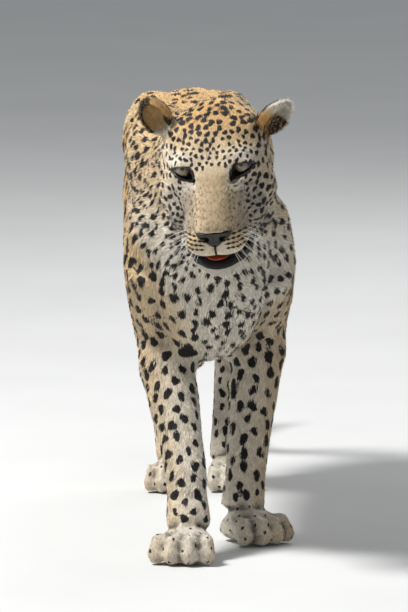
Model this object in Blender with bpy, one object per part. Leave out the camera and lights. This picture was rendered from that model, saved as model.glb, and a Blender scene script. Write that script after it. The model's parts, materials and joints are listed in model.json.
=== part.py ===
"""An adult male leopard, life size, walking forward with its head low.

Metres, +Z up. The animal faces -Y, its left side is +X, and its feet stand on z = 0.
Tubes and rounded muscles are melted into one body, the face is cut into it, and thin
cuts then part it into the pieces that a person would name.
"""
import math

import bmesh
import bpy
import numpy as np
from mathutils import Matrix, Vector

# Gap left between pieces that meet
GAP = 0.0003

# Driving sizes of the animal
WITHERS_HEIGHT = 0.672
RUMP_HEIGHT = 0.656
BRISKET_HEIGHT = 0.272
CHEST_WIDTH = 0.244
TRUNK_LENGTH = 0.860
TAIL_LENGTH = 0.840
FORE_PAW_WIDTH = 0.110
HIND_PAW_WIDTH = 0.084
HOCK_HEIGHT = 0.198

# Head: half the distance between the eyes, the ball of the eye, and how the head is held
EYE_SPREAD = 0.0445
EYE_RADIUS = 0.0165
HEAD_AT = Vector((0.006, -0.310, 0.600))
HEAD_PITCH = math.radians(18)
HEAD_ROLL = math.radians(-5)
HEAD_YAW = math.radians(-5.5)

# Fineness of the melted flesh and of the finished solids
BODY_VOXEL = 0.007
FINE_VOXEL = 0.0035
WHOLE_VOXEL = 0.0038
HEAD_TRIANGLES = 22000
BODY_TRIANGLES = 6300

X_AXIS = Vector((1, 0, 0))
LEFT, RIGHT = 1, -1


def material(name, colour, roughness):
    """A plain Principled material."""
    made = bpy.data.materials.new(name)
    made.use_nodes = True
    shader = made.node_tree.nodes["Principled BSDF"]
    shader.inputs["Base Color"].default_value = (*colour, 1)
    shader.inputs["Roughness"].default_value = roughness
    shader.inputs["Metallic"].default_value = 0
    return made


def add_object(name, mesh):
    obj = bpy.data.objects.new(name, mesh)
    bpy.context.scene.collection.objects.link(obj)
    return obj


def object_from(name, build):
    """A mesh object from what build(bm) adds to an empty bmesh."""
    mesh = bpy.data.meshes.new(name)
    bm = bmesh.new()
    build(bm)
    bmesh.ops.recalc_face_normals(bm, faces=bm.faces)
    bm.to_mesh(mesh)
    bm.free()
    return add_object(name, mesh)


def smooth_path(points, steps):
    """Rows of numbers run through by a Catmull-Rom curve, with steps rows from one point to the next."""
    rows = [np.array(p, float) for p in points]
    rows = [2 * rows[0] - rows[1], *rows, 2 * rows[-1] - rows[-2]]
    out = []
    for before, start, end, after in zip(rows, rows[1:], rows[2:], rows[3:]):
        for k in range(steps):
            t = k / steps
            out.append(
                0.5
                * (
                    2 * start
                    + (end - before) * t
                    + (2 * before - 5 * start + 4 * end - after) * t**2
                    + (3 * start - before - 3 * end + after) * t**3
                )
            )
    return out + [rows[-2]]


def squared(value, power):
    """A sine or cosine pushed outwards, so that a ring is a rounded box where power is under 1."""
    return math.copysign(abs(value) ** power, value)


def tube(stations, steps=4, sides=24, across=X_AXIS, power=1.0):
    """A closed tube of oval rings. A station is (point, half width along across, half depth)."""
    rows = smooth_path([(*point, wide, deep) for point, wide, deep in stations], steps)
    points = [Vector(row[:3]) for row in rows]

    def build(bm):
        rings = []
        for k, (point, row) in enumerate(zip(points, rows)):
            along = (points[min(k + 1, len(rows) - 1)] - points[max(k - 1, 0)]).normalized()
            wide = (across - across.dot(along) * along).normalized() * row[3]
            deep = along.cross(wide).normalized() * row[4]
            ring = []
            for s in range(sides):
                turn = 2 * math.pi * s / sides
                out = wide * squared(math.cos(turn), power) + deep * squared(math.sin(turn), power)
                ring.append(bm.verts.new(point + out))
            rings.append(ring)
        for lower, upper in zip(rings, rings[1:]):
            for s in range(sides):
                t = (s + 1) % sides
                bm.faces.new((lower[s], lower[t], upper[t], upper[s]))
        bm.faces.new(rings[0])
        bm.faces.new(rings[-1])

    return object_from("tube", build)


def mass(centre, radii, turn=(0, 0, 0), fine=3):
    """A rounded mass: a ball stretched to three radii and turned by three angles in degrees."""
    spin = Matrix.Rotation(math.radians(turn[2]), 4, "Z")
    spin = spin @ Matrix.Rotation(math.radians(turn[1]), 4, "Y")
    spin = spin @ Matrix.Rotation(math.radians(turn[0]), 4, "X")
    place = Matrix.Translation(centre) @ spin @ Matrix.Diagonal((*radii, 1))
    return object_from(
        "mass", lambda bm: bmesh.ops.create_icosphere(bm, subdivisions=fine, radius=1, matrix=place)
    )


def bar(start, end, start_radius, end_radius, flat=1.0, fine=3):
    """A muscle that runs from start to end: a chain of balls melted later, flattened sideways by flat."""
    count = 5
    out = []
    for k in range(count):
        t = k / (count - 1)
        radius = start_radius + (end_radius - start_radius) * t
        out.append(mass(start.lerp(end, t), (radius * flat, radius, radius), fine=fine))
    return out


def applied(obj):
    """Turns an object's modifiers into its mesh."""
    graph = bpy.context.evaluated_depsgraph_get()
    mesh = bpy.data.meshes.new_from_object(obj.evaluated_get(graph))
    obj.modifiers.clear()
    obj.data = mesh
    return obj


def joined(name, objects):
    """One object that holds the meshes of several."""
    mesh = bpy.data.meshes.new(name)
    bm = bmesh.new()
    for obj in objects:
        part = obj.data.copy()
        part.transform(obj.matrix_world)
        bm.from_mesh(part)
        bpy.data.objects.remove(obj)
    bm.to_mesh(mesh)
    bm.free()
    return add_object(name, mesh)


def melted(name, objects, voxel, rounds):
    """Overlapping closed shapes made one skin, with its creases eased by rounds of smoothing."""
    obj = joined(name, objects)
    remesh = obj.modifiers.new("melt", "REMESH")
    remesh.mode = "VOXEL"
    remesh.voxel_size = voxel
    ease = obj.modifiers.new("ease", "SMOOTH")
    ease.factor = 0.5
    ease.iterations = rounds
    return applied(obj)


def points_of(obj):
    values = np.empty(len(obj.data.vertices) * 3, np.float32)
    obj.data.vertices.foreach_get("co", values)
    return values.reshape(-1, 3).astype(float)


def set_points(obj, points):
    obj.data.vertices.foreach_set("co", points.astype(np.float32).ravel())
    obj.data.update()


def press(obj, centre, reach, move):
    """Moves the clay near centre by move, fading to nothing at reach, a number or one for each axis."""
    points = points_of(obj)
    away = np.linalg.norm((points - np.array(centre)) / np.array(reach), axis=1)
    share = np.clip(1 - away**2, 0, None) ** 2
    set_points(obj, points + share[:, None] * np.array(move))


def press_both(obj, centre, reach, move):
    """press() on the left and, mirrored, on the right."""
    for side in (LEFT, RIGHT):
        press(obj, (side * centre[0], *centre[1:]), reach, (side * move[0], *move[1:]))


def boolean(obj, other, operation):
    """Cuts, joins or keeps what two solids share, and applies it. The other object stays."""
    step = obj.modifiers.new(operation.lower(), "BOOLEAN")
    step.operation = operation
    step.object = other
    return applied(obj)


def cut(obj, cutter):
    boolean(obj, cutter, "DIFFERENCE")
    bpy.data.objects.remove(cutter)
    return obj


def largest_shell(obj):
    """Keeps only the largest closed surface of an object."""
    bm = bmesh.new()
    bm.from_mesh(obj.data)
    left, shells = set(bm.verts), []
    while left:
        stack = [left.pop()]
        shell = set(stack)
        while stack:
            for edge in stack.pop().link_edges:
                for vert in edge.verts:
                    if vert not in shell:
                        shell.add(vert)
                        stack.append(vert)
        left -= shell
        shells.append(shell)
    shells.sort(key=len, reverse=True)
    loose = [vert for shell in shells[1:] for vert in shell]
    bmesh.ops.delete(bm, geom=loose, context="VERTS")
    bm.to_mesh(obj.data)
    bm.free()
    return obj


def block(low, high, grow=0.0, place=Matrix.Identity(4)):
    """A box between two corners, grown on every side, in the frame of place."""
    low = Vector(low) - Vector((grow,) * 3)
    high = Vector(high) + Vector((grow,) * 3)
    shape = place @ Matrix.Translation((low + high) / 2) @ Matrix.Diagonal((*(high - low), 1))
    return object_from("block", lambda bm: bmesh.ops.create_cube(bm, size=1, matrix=shape))


def drum(place, radii, reach, grow=0.0, sides=32):
    """A rounded box with its axis along X, from x = 0 to x = reach in the frame of place."""
    low, high = min(0, reach) - grow, max(0, reach) + grow

    def build(bm):
        rings = []
        for x in (low, high):
            ring = []
            for s in range(sides):
                turn = 2 * math.pi * s / sides
                y = (radii[0] + grow) * squared(math.cos(turn), 0.6)
                z = (radii[1] + grow) * squared(math.sin(turn), 0.6)
                ring.append(bm.verts.new(place @ Vector((x, y, z))))
            rings.append(ring)
        for s in range(sides):
            t = (s + 1) % sides
            bm.faces.new((rings[0][s], rings[0][t], rings[1][t], rings[1][s]))
        bm.faces.new(rings[0])
        bm.faces.new(rings[1])

    return object_from("drum", build)


def parted(body, name, region):
    """Takes what lies in a region off the body as a piece of its own, with a gap between the two.

    region(grow) makes the region's solid, grown by that much.
    """
    piece = add_object(name, body.data.copy())
    keep = region(-GAP / 2)
    boolean(piece, keep, "INTERSECT")
    bpy.data.objects.remove(keep)
    cut(body, region(GAP / 2))
    largest_shell(piece)
    largest_shell(body)
    return piece


def head_frame():
    """Where the head's own frame stands: its origin is midway between the eyes, and it looks along its -Y."""
    turn = Matrix.Rotation(HEAD_YAW, 4, "Z") @ Matrix.Rotation(HEAD_PITCH, 4, "X")
    return Matrix.Translation(HEAD_AT) @ turn @ Matrix.Rotation(HEAD_ROLL, 4, "Y")


def mm(x, y, z):
    """A point or a set of radii of the head, given in millimetres."""
    return Vector((x, y, z)) / 1000


def paired(centre, radii, turn=(0, 0, 0)):
    """The same mass on the left and the right of the head."""
    x, y, z = centre
    pair = []
    for side in (LEFT, RIGHT):
        pair.append(mass(mm(side * x, y, z), mm(*radii), (turn[0], side * turn[1], side * turn[2])))
    return pair


def eye_centre(side):
    return mm(side * EYE_SPREAD * 1000, 3, 7)


def skull_masses():
    """The wedge of the head from the nose to the nape, the brows, the cheeks and the crown."""
    wedge = tube(
        [
            (mm(0, -95, -72), 0.024, 0.017),
            (mm(0, -84, -72), 0.038, 0.026),
            (mm(0, -62, -67), 0.045, 0.037),
            (mm(0, -36, -58), 0.049, 0.046),
            (mm(0, -10, -46), 0.062, 0.057),
            (mm(0, 18, -30), 0.078, 0.066),
            (mm(0, 50, -18), 0.085, 0.073),
            (mm(0, 85, -8), 0.084, 0.078),
            (mm(0, 120, -8), 0.080, 0.077),
            (mm(0, 160, -20), 0.072, 0.070),
            (mm(0, 185, -46), 0.060, 0.056),
        ],
        power=0.88,
    )
    out = [
        wedge,
        mass(mm(0, 112, 42), mm(46, 56, 32)),
        mass(mm(0, 34, 8), mm(60, 46, 37)),
        mass(mm(0, 80, -66), mm(60, 66, 50)),
    ]
    out += paired((42, 80, 28), (36, 56, 36), (0, 0, -8))
    out += paired((38, 15, 24), (26, 20, 11), (0, 14, 14))
    out += paired((58, 42, -38), (33, 48, 40), (0, 0, 10))
    out += paired((44, 16, -58), (34, 52, 38), (0, 0, 8))
    out += paired((60, 60, -50), (31, 42, 46), (0, 0, 8))
    return out


def muzzle_masses():
    """The bridge of the nose, the pads that carry the whiskers, and the upper lip."""
    bridge = tube(
        [
            (mm(0, 24, -4), 0.034, 0.030),
            (mm(0, -14, -12), 0.031, 0.025),
            (mm(0, -48, -33), 0.031, 0.025),
            (mm(0, -78, -54), 0.029, 0.022),
            (mm(0, -93, -64), 0.024, 0.015),
        ],
        power=0.85,
    )
    out = [bridge, mass(mm(0, -30, -72), mm(48, 44, 28))]
    out += paired((25, -70, -79), (26, 28, 21), (0, 0, -14))
    out += paired((36, -46, -77), (17, 36, 25), (0, 0, -14))
    out += paired((15, -83, -87), (17, 14, 12))
    return out


def jaw_masses():
    """The chin, the lower lip and the two sides of the jaw."""
    out = [
        mass(mm(0, -54, -128), mm(31, 27, 17)),
        mass(mm(0, -64, -117), mm(30, 21, 10)),
        mass(mm(0, -14, -118), mm(40, 58, 24)),
        mass(mm(0, 50, -104), mm(50, 50, 34)),
    ]
    for side in (LEFT, RIGHT):
        out += bar(mm(side * 54, 54, -82), mm(side * 26, -44, -119), 0.033, 0.019)
    return out


def shape_face(head):
    """Strokes over the soft clay of the head: sockets, stop, hollows under the cheeks, lips."""
    press_both(head, mm(46, -14, 6), mm(30, 30, 22), mm(0, 12, 0))
    press_both(head, mm(22, -22, -4), mm(13, 28, 18), mm(-3, 4, -2))
    press(head, mm(0, 4, 46), mm(22, 34, 30), mm(0, 3, -3))
    press_both(head, mm(46, 0, 32), mm(22, 26, 12), mm(0, -3, 2))
    press(head, mm(0, -102, -86), mm(5, 22, 18), mm(0, 7, 0))
    press_both(head, mm(34, -76, -56), mm(14, 26, 14), mm(-4, 3, 0))


def head_clay():
    """The head without its ears, in its own frame, then put in its place."""
    clay = melted("head clay", skull_masses() + muzzle_masses() + jaw_masses(), 0.0035, 26)
    shape_face(clay)
    lids = [mass(eye_centre(side), (EYE_RADIUS + 0.0028,) * 3) for side in (LEFT, RIGHT)]
    clay = melted("head clay", [clay, *lids], 0.0028, 3)
    clay.data.transform(head_frame())
    return clay


def trunk_masses():
    """The barrel of the body from the chest to the root of the tail, with its main muscles.

    Each row of the barrel is: place along Y, top, bottom and half width.
    """
    half = CHEST_WIDTH / 2
    top, low = WITHERS_HEIGHT, BRISKET_HEIGHT
    length = TRUNK_LENGTH
    rows = [
        (-0.215, 0.645, 0.455, 0.070),
        (-0.150, 0.660, 0.380, half * 0.84),
        (-0.070, top - 0.008, low + 0.018, half * 0.92),
        (0.020, top, low, half * 0.95),
        (0.130, top - 0.014, low + 0.010, half * 0.97),
        (0.260, top - 0.030, low + 0.028, half * 0.98),
        (0.370, top - 0.036, low + 0.046, half * 0.94),
        (0.470, top - 0.032, low + 0.072, half * 0.87),
        (0.560, RUMP_HEIGHT, low + 0.106, half * 0.87),
        (length - 0.200, RUMP_HEIGHT - 0.014, 0.420, half * 0.80),
        (length - 0.120, RUMP_HEIGHT - 0.058, 0.460, half * 0.50),
    ]
    stations = [(Vector((0, y, (high + low) / 2)), wide, (high - low) / 2) for y, high, low, wide in rows]
    barrel = tube(stations, power=0.92)
    out = [barrel]
    out.append(mass((0, -0.085, 0.40), (0.085, 0.095, 0.095)))
    out.append(mass((0, -0.165, 0.50), (0.080, 0.060, 0.090)))
    for side in (LEFT, RIGHT):
        out.append(mass((side * 0.058 - 0.006, 0.035, 0.588), (0.063, 0.145, 0.084), (18, 0, 0)))
        out.append(mass((side * 0.060 - 0.006, 0.570, 0.565), (0.056, 0.125, 0.084), (-14, 0, 0)))
        out.append(mass((side * 0.036, 0.665, 0.560), (0.050, 0.080, 0.062), (-25, 0, 0)))
    return out


def neck_masses():
    nape = head_frame() @ mm(0, 92, -4)
    throat = head_frame() @ mm(0, 60, -62)
    return [
        tube(
            [
                (Vector((0, 0.040, 0.535)), 0.100, 0.125),
                (Vector((0, -0.060, 0.546)), 0.102, 0.128),
                (Vector((0, -0.135, 0.570)), 0.096, 0.118),
                (nape, 0.080, 0.088),
            ]
        ),
        tube(
            [
                (Vector((0, -0.100, 0.440)), 0.078, 0.080),
                (Vector((0, -0.160, 0.485)), 0.074, 0.068),
                (throat, 0.060, 0.052),
            ]
        ),
    ]


def tail_tube():
    """The tail: down from the rump, then swept back and up at its tip."""
    root = Vector((0, TRUNK_LENGTH - 0.150, 0.575))
    scale = TAIL_LENGTH / 0.84
    path = [
        (0, 0, 0, 0.036),
        (0, 0.070, -0.070, 0.032),
        (0, 0.130, -0.170, 0.028),
        (0, 0.170, -0.275, 0.0255),
        (0.004, 0.225, -0.375, 0.0235),
        (0.010, 0.320, -0.425, 0.0225),
        (0.014, 0.420, -0.415, 0.0225),
        (0.010, 0.490, -0.350, 0.0215),
        (0.004, 0.520, -0.280, 0.0150),
    ]
    return tube([(root + Vector((x, y, z)) * scale, thick, thick) for x, y, z, thick in path])


def paw_masses(at, turn, width, length):
    """A paw that stands flat: its back, four toes fanned at the front, and the pad behind."""
    place = Matrix.Translation((at[0], at[1], 0)) @ Matrix.Rotation(math.radians(turn), 4, "Z")
    out = [
        mass(place @ Vector((0, 0.04 * length, 0.027)), (0.40 * width, 0.40 * length, 0.030), (0, 0, turn)),
        mass(place @ Vector((0, 0.26 * length, 0.020)), (0.33 * width, 0.24 * length, 0.022), (0, 0, turn)),
    ]
    for step in (-1.5, -0.5, 0.5, 1.5):
        inner = 1.5 - abs(step)
        knuckle = place @ Vector((0.225 * step * width, -(0.20 + 0.09 * inner) * length, 0.029))
        toe = place @ Vector((0.243 * step * width, -(0.27 + 0.09 * inner) * length, 0.0165))
        out.append(mass(knuckle, (0.128 * width, 0.17 * length, 0.021), (0, 0, turn + 7 * step)))
        out.append(mass(toe, (0.134 * width, 0.17 * length, 0.0205), (0, 0, turn + 7 * step)))
    return out


def ankle_over(paw, turn, back, up):
    """The point where a leg comes down into its paw, behind and above the paw's middle."""
    return Vector((*paw, 0)) + Matrix.Rotation(math.radians(turn), 3, "Z") @ Vector((0, back, up))


def fore_leg_masses(side, shoulder, elbow, wrist, paw, turn):
    """A front leg from the point of the shoulder down to the ankle, and its muscles."""
    ankle = ankle_over(paw, turn, 0.024, 0.048)
    limb = tube(
        [
            (shoulder, 0.044, 0.068),
            (shoulder.lerp(elbow, 0.55), 0.048, 0.066),
            (elbow, 0.047, 0.060),
            (elbow.lerp(wrist, 0.25), 0.0455, 0.052),
            (elbow.lerp(wrist, 0.50), 0.0435, 0.043),
            (elbow.lerp(wrist, 0.75), 0.0390, 0.036),
            (wrist, 0.0365, 0.0340),
            (wrist.lerp(ankle, 0.5), 0.0355, 0.0310),
            (ankle, 0.0400, 0.0330),
        ]
    )
    back = Vector((0, 0.030, 0.015))
    return [
        limb,
        mass(shoulder + Vector((-side * 0.006, 0.030, 0.020)), (0.046, 0.085, 0.080), (-35, 0, 0)),
        mass(shoulder.lerp(elbow, 0.55) + back, (0.042, 0.075, 0.066), (-30, 0, 0)),
        mass(elbow + Vector((0, 0.028, 0.010)), (0.034, 0.034, 0.034)),
        mass(elbow.lerp(wrist, 0.22) + Vector((side * 0.006, -0.004, 0)), (0.044, 0.046, 0.070), (-32, 0, 0)),
        mass(wrist + Vector((0, 0.026, -0.006)), (0.016, 0.016, 0.016)),
    ]


def hind_leg_masses(side, hip, knee, hock, paw, turn):
    """A hind leg from the hip down to the roots of the toes: thigh, shin, heel and foot."""
    ankle = ankle_over(paw, turn, 0.030, 0.042)
    limb = tube(
        [
            (hip, 0.050, 0.085),
            (hip.lerp(knee, 0.5), 0.047, 0.080),
            (knee, 0.042, 0.058),
            (knee.lerp(hock, 0.35), 0.040, 0.049),
            (knee.lerp(hock, 0.75), 0.0290, 0.034),
            (hock, 0.0270, 0.031),
            (hock.lerp(ankle, 0.45), 0.0265, 0.0265),
            (ankle, 0.0300, 0.0265),
        ]
    )
    return [
        limb,
        mass(hip.lerp(knee, 0.45) + Vector((0, 0.050, 0.010)), (0.049, 0.092, 0.110), (-40, 0, 0)),
        mass(hip + Vector((-side * 0.012, 0.060, -0.030)), (0.045, 0.058, 0.085), (8, 0, 0)),
        mass(knee + Vector((0, -0.012, 0.010)), (0.036, 0.036, 0.045)),
        mass(hock + Vector((0, 0.020, 0.012)), (0.020, 0.022, 0.030)),
    ]


FORE_LEGS = {
    RIGHT: dict(
        shoulder=Vector((-0.090, -0.145, 0.465)),
        elbow=Vector((-0.067, -0.035, 0.335)),
        wrist=Vector((-0.032, -0.176, 0.126)),
        paw=(-0.034, -0.243),
        turn=-12,
    ),
    LEFT: dict(
        shoulder=Vector((0.100, -0.100, 0.455)),
        elbow=Vector((0.090, 0.058, 0.345)),
        wrist=Vector((0.066, -0.004, 0.122)),
        paw=(0.072, -0.046),
        turn=34,
    ),
}
HIND_LEGS = {
    RIGHT: dict(
        hip=Vector((-0.066, 0.600, 0.525)),
        knee=Vector((-0.079, 0.465, 0.375)),
        hock=Vector((-0.056, 0.642, 0.205)),
        paw=(-0.0395, 0.535),
        turn=-8,
    ),
    LEFT: dict(
        hip=Vector((0.066, 0.600, 0.525)),
        knee=Vector((0.088, 0.470, 0.375)),
        hock=Vector((0.058, 0.652, 0.205)),
        paw=(0.053, 0.543),
        turn=8,
    ),
}


def body_clay():
    """The whole animal in one skin, melted in stages, coarse forms first."""
    rough = trunk_masses() + neck_masses() + [tail_tube()]
    paws = []
    for side, leg in FORE_LEGS.items():
        rough += fore_leg_masses(side, **leg)
        paws += paw_masses(leg["paw"], leg["turn"], FORE_PAW_WIDTH, 0.122)
    for side, leg in HIND_LEGS.items():
        rough += hind_leg_masses(side, **leg)
        paws += paw_masses(leg["paw"], leg["turn"], HIND_PAW_WIDTH, 0.112)
    trunk = melted("trunk clay", rough, BODY_VOXEL, 14)
    feet = melted("feet clay", paws, FINE_VOXEL, 5)
    return melted("whole clay", [trunk, feet, head_clay()], WHOLE_VOXEL, 4)


# Each ear in the head's frame: the middle of its root, its way up and the way its opening faces
EARS = {
    RIGHT: dict(root=mm(-74, 82, 40), up=Vector((-0.42, 0.10, 0.90)), face=Vector((-0.34, -0.92, -0.06))),
    LEFT: dict(root=mm(73, 80, 30), up=Vector((0.68, 0.14, 0.66)), face=Vector((0.46, -0.76, -0.48))),
}
EAR_HEIGHT = 0.058
EAR_WIDTH = 0.052
EAR_WALL = 0.0060


def ear_solid(side):
    """A rounded ear with its cup hollowed out, its root still buried in the head."""
    ear = EARS[side]
    up = ear["up"].normalized()
    face = (ear["face"] - ear["face"].dot(up) * up).normalized()
    turn = Matrix((up.cross(face), up, face)).transposed().to_4x4()
    middle = ear["root"] + up * 0.45 * EAR_HEIGHT
    outer = Vector((EAR_WIDTH / 2, 0.56 * EAR_HEIGHT, 0.32 * EAR_WIDTH))
    inner = outer - Vector((EAR_WALL, EAR_WALL, 0.6 * EAR_WALL))

    def ball(centre, radii, name):
        place = head_frame() @ Matrix.Translation(centre) @ turn @ Matrix.Diagonal((*radii, 1))
        return object_from(
            name, lambda bm: bmesh.ops.create_icosphere(bm, subdivisions=3, radius=1, matrix=place)
        )

    shell = ball(middle, outer, "ear")
    return cut(shell, ball(middle + face * 0.0105, inner, "cup"))


def fitted_on(piece, base):
    """Trims a piece where it runs into a base, so that the two meet face to face with a gap."""
    grown = add_object("grown", base.data.copy())
    swell = grown.modifiers.new("swell", "DISPLACE")
    swell.strength = GAP
    swell.mid_level = 0
    applied(grown)
    cut(piece, grown)
    return largest_shell(piece)


def in_head(obj):
    obj.data.transform(head_frame())
    return obj


def prism(outline, near, far, centre=Vector((0, 0, 0)), tilt=0.0, grow=0.0):
    """A solid that carries an outline of (x, z) points from y = near to y = far, in the head's frame."""
    middle = sum((Vector(point) for point in outline), Vector((0, 0))) / len(outline)

    def build(bm):
        rings = []
        for depth in (near - grow, far + grow):
            ring = []
            for point in outline:
                x, z = Vector(point) + (Vector(point) - middle).normalized() * grow
                across = x * math.cos(tilt) - z * math.sin(tilt)
                high = x * math.sin(tilt) + z * math.cos(tilt)
                ring.append(bm.verts.new(centre + Vector((across, depth, high))))
            rings.append(ring)
        for k in range(len(outline)):
            m = (k + 1) % len(outline)
            bm.faces.new((rings[0][k], rings[0][m], rings[1][m], rings[1][k]))
        bm.faces.new(rings[0])
        bm.faces.new(rings[1])

    return in_head(object_from("prism", build))


def eye_opening(side):
    """The almond between the lids, its inner corner low, carried back into the ball of the eye."""
    half, rise, fall = 0.0195, 0.0088, 0.0070
    steps = [-1 + k / 4 for k in range(9)]
    upper = [(side * x * half, rise * (1 - x * x) * (1 - 0.35 * x)) for x in steps]
    lower = [(side * x * half, -fall * (1 - x * x)) for x in steps[-2:0:-1]]
    return prism(upper + lower, -0.045, 0.004, eye_centre(side), side * math.radians(26))


def ball_at(centre, radius, name, segments=24, rings=14):
    place = head_frame() @ Matrix.Translation(centre) @ Matrix.Rotation(math.pi / 2, 4, "X")

    def build(bm):
        bmesh.ops.create_uvsphere(bm, u_segments=segments, v_segments=rings, radius=radius, matrix=place)

    return object_from(name, build)


def carve_face(head):
    """Cuts the eye sockets, the almonds between the lids, the mouth and the nostrils into the head."""
    for side in (LEFT, RIGHT):
        cut(head, ball_at(eye_centre(side), EYE_RADIUS + GAP, "socket"))
        cut(head, eye_opening(side))
        nostril = mass(mm(side * 13, -97, -66), mm(6, 9, 3.6), (0, side * 30, 0), fine=2)
        cut(head, in_head(nostril))
    cut(head, in_head(mass(mm(0, -46, -103), mm(52, 54, 7))))


def thinned(obj, triangles):
    """The same surface with about that many triangles."""
    thin = obj.modifiers.new("thin", "DECIMATE")
    thin.ratio = triangles / (2 * len(obj.data.polygons))
    thin.use_collapse_triangulate = True
    return applied(obj)


def leaning_block(point, lean, low, high, grow):
    """A block whose own frame stands at point and leans about X by lean degrees."""
    place = Matrix.Translation(point) @ Matrix.Rotation(math.radians(lean), 4, "X")
    return block(low, high, grow, place)


def head_region(grow):
    return leaning_block((0, -0.215, 0.604), -10, (-0.16, -0.32, -0.20), (0.16, 0, 0.20), grow)


def neck_region(grow):
    return leaning_block((0, -0.120, 0.560), -33, (-0.20, -0.40, -0.17), (0.20, 0, 0.25), grow)


def leg_name(side, which, piece):
    return f"leg_{which}_{'left' if side == LEFT else 'right'}_{piece}"


def part_legs(body):
    """Takes the four legs off the body, each as a foot, a lower leg and an upper leg."""
    pieces = []
    for side, leg in FORE_LEGS.items():
        x, y = leg["paw"]
        lean = math.radians(20 * side)
        middle = (side * 0.034, leg["elbow"].y - 0.045, 0.390)
        turn = Matrix.Translation(middle) @ Matrix.Rotation(lean, 4, "Y")
        inner, outer = sorted((0.012, side * 0.20))
        regions = {
            "paw": lambda grow: block((x - 0.09, y - 0.09, -0.01), (x + 0.09, y + 0.095, 0.092), grow),
            "lower": lambda grow: block((inner, y - 0.10, 0.092), (outer, y + 0.22, 0.262), grow),
            "upper": lambda grow: drum(turn, (0.118, 0.150), side * 0.25, grow),
        }
        pieces += [parted(body, leg_name(side, "front", piece), region) for piece, region in regions.items()]
    for side, leg in HIND_LEGS.items():
        lean = math.radians(10 * side)
        turn = Matrix.Translation((side * 0.042, 0.545, 0.435)) @ Matrix.Rotation(lean, 4, "Y")
        inner, outer = sorted((side * 0.0045, side * 0.20))
        regions = {
            "paw": lambda grow: block((inner, 0.43, -0.01), (outer, 0.74, HOCK_HEIGHT), grow),
            "lower": lambda grow: block((inner, 0.405, HOCK_HEIGHT), (outer, 0.76, 0.322), grow),
            "upper": lambda grow: drum(turn, (0.130, 0.150), side * 0.25, grow),
        }
        pieces += [parted(body, leg_name(side, "rear", piece), region) for piece, region in regions.items()]
    return pieces


def part_tail(body):
    """The tail in five nearly straight lengths, tip first; each cut is a distance behind the root."""
    root, back = TRUNK_LENGTH - 0.110, TRUNK_LENGTH + 0.6
    cuts = {"tail_tip": 0.415, "tail_lower": 0.300, "tail_middle": 0.180}
    pieces = []
    for name, reach in cuts.items():
        low = (-0.1, root + reach, 0.05)
        pieces.append(parted(body, name, lambda grow: block(low, (0.1, back, 0.5), grow)))
    upper = parted(body, "tail_upper", lambda grow: block((-0.1, root, 0.05), (0.1, back, 0.360), grow))
    base = parted(body, "tail_base", lambda grow: block((-0.1, root, 0.360), (0.1, back, 0.70), grow))
    return [*pieces, upper, base]


NOSE_OUTLINE = [(-0.027, -0.055), (-0.023, -0.063), (-0.010, -0.072), (-0.003, -0.078)]
NOSE_OUTLINE += [(-x, z) for x, z in reversed(NOSE_OUTLINE)]


def part_face(head):
    """Takes the jaw, the tongue and the leather of the nose off the head, and adds the eyes and ears."""
    jaw = parted(
        head, "jaw", lambda grow: block((-0.075, -0.13, -0.19), (0.075, 0.002, -0.103), grow, head_frame())
    )
    tongue, room = mm(0, -55, -106), mm(21, 33, 5.5)
    cut(jaw, in_head(mass(tongue, room + Vector((GAP,) * 3), fine=2)))
    meat = in_head(mass(tongue, room, fine=2))
    nose = parted(head, "nose", lambda grow: prism(NOSE_OUTLINE, -0.13, -0.084, grow=grow))
    pieces = [jaw, renamed(meat, "tongue"), nose]
    for side, word in ((LEFT, "left"), (RIGHT, "right")):
        pieces.append(renamed(ball_at(eye_centre(side), EYE_RADIUS, "eye"), f"eye_{word}"))
        pieces.append(renamed(fitted_on(ear_solid(side), head), f"ear_{word}"))
    return pieces


def renamed(obj, name):
    obj.name = name
    obj.data.name = name
    return obj


COLOURS = {
    "jaw": (0.62, 0.58, 0.52),
    "tongue": (0.62, 0.16, 0.10),
    "nose": (0.10, 0.07, 0.06),
    "eye": (0.42, 0.40, 0.22),
    "ear": (0.62, 0.44, 0.26),
    "head": (0.72, 0.52, 0.30),
    "neck": (0.68, 0.52, 0.34),
    "torso": (0.70, 0.52, 0.32),
    "tail": (0.66, 0.50, 0.32),
    "leg": (0.74, 0.64, 0.50),
}


def finish(obj):
    """Gives a piece its colour and shades it smooth between its cut edges."""
    kind = obj.name.split("_")[0]
    made = material(obj.name, COLOURS[kind], 0.35 if kind in ("eye", "tongue", "nose") else 0.85)
    obj.data.materials.clear()
    obj.data.materials.append(made)
    obj.data.shade_smooth()
    obj.data.set_sharp_from_angle(angle=math.radians(50))


def centre_on_floor(pieces):
    """Moves everything so that the origin is the middle of the floor under the animal."""
    points = np.concatenate([points_of(piece) for piece in pieces])
    middle = (points.min(axis=0) + points.max(axis=0)) / 2
    for piece in pieces:
        piece.data.transform(Matrix.Translation((-middle[0], -middle[1], 0)))
    return Vector((-middle[0], -middle[1], 0))


def main():
    for obj in list(bpy.data.objects):
        bpy.data.objects.remove(obj)
    whole = body_clay()
    fine = thinned(add_object("fine", whole.data.copy()), HEAD_TRIANGLES)
    body = renamed(thinned(whole, BODY_TRIANGLES), "torso")
    cut(body, block((-0.3, -0.5, -0.1), (0.3, 0.9, 0.0)))
    pieces = part_legs(body) + part_tail(body)
    head = add_object("head", fine.data.copy())
    keep = head_region(-GAP / 2)
    boolean(head, keep, "INTERSECT")
    largest_shell(head)
    bpy.data.objects.remove(keep)
    bpy.data.objects.remove(fine)
    cut(body, head_region(GAP / 2))
    largest_shell(body)
    pieces.append(parted(body, "neck", neck_region))
    carve_face(head)
    pieces += part_face(head)
    pieces += [largest_shell(head), body]
    shift = centre_on_floor(pieces)
    for piece in pieces:
        finish(piece)
    return shift


if __name__ == "__main__":
    main()
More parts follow.
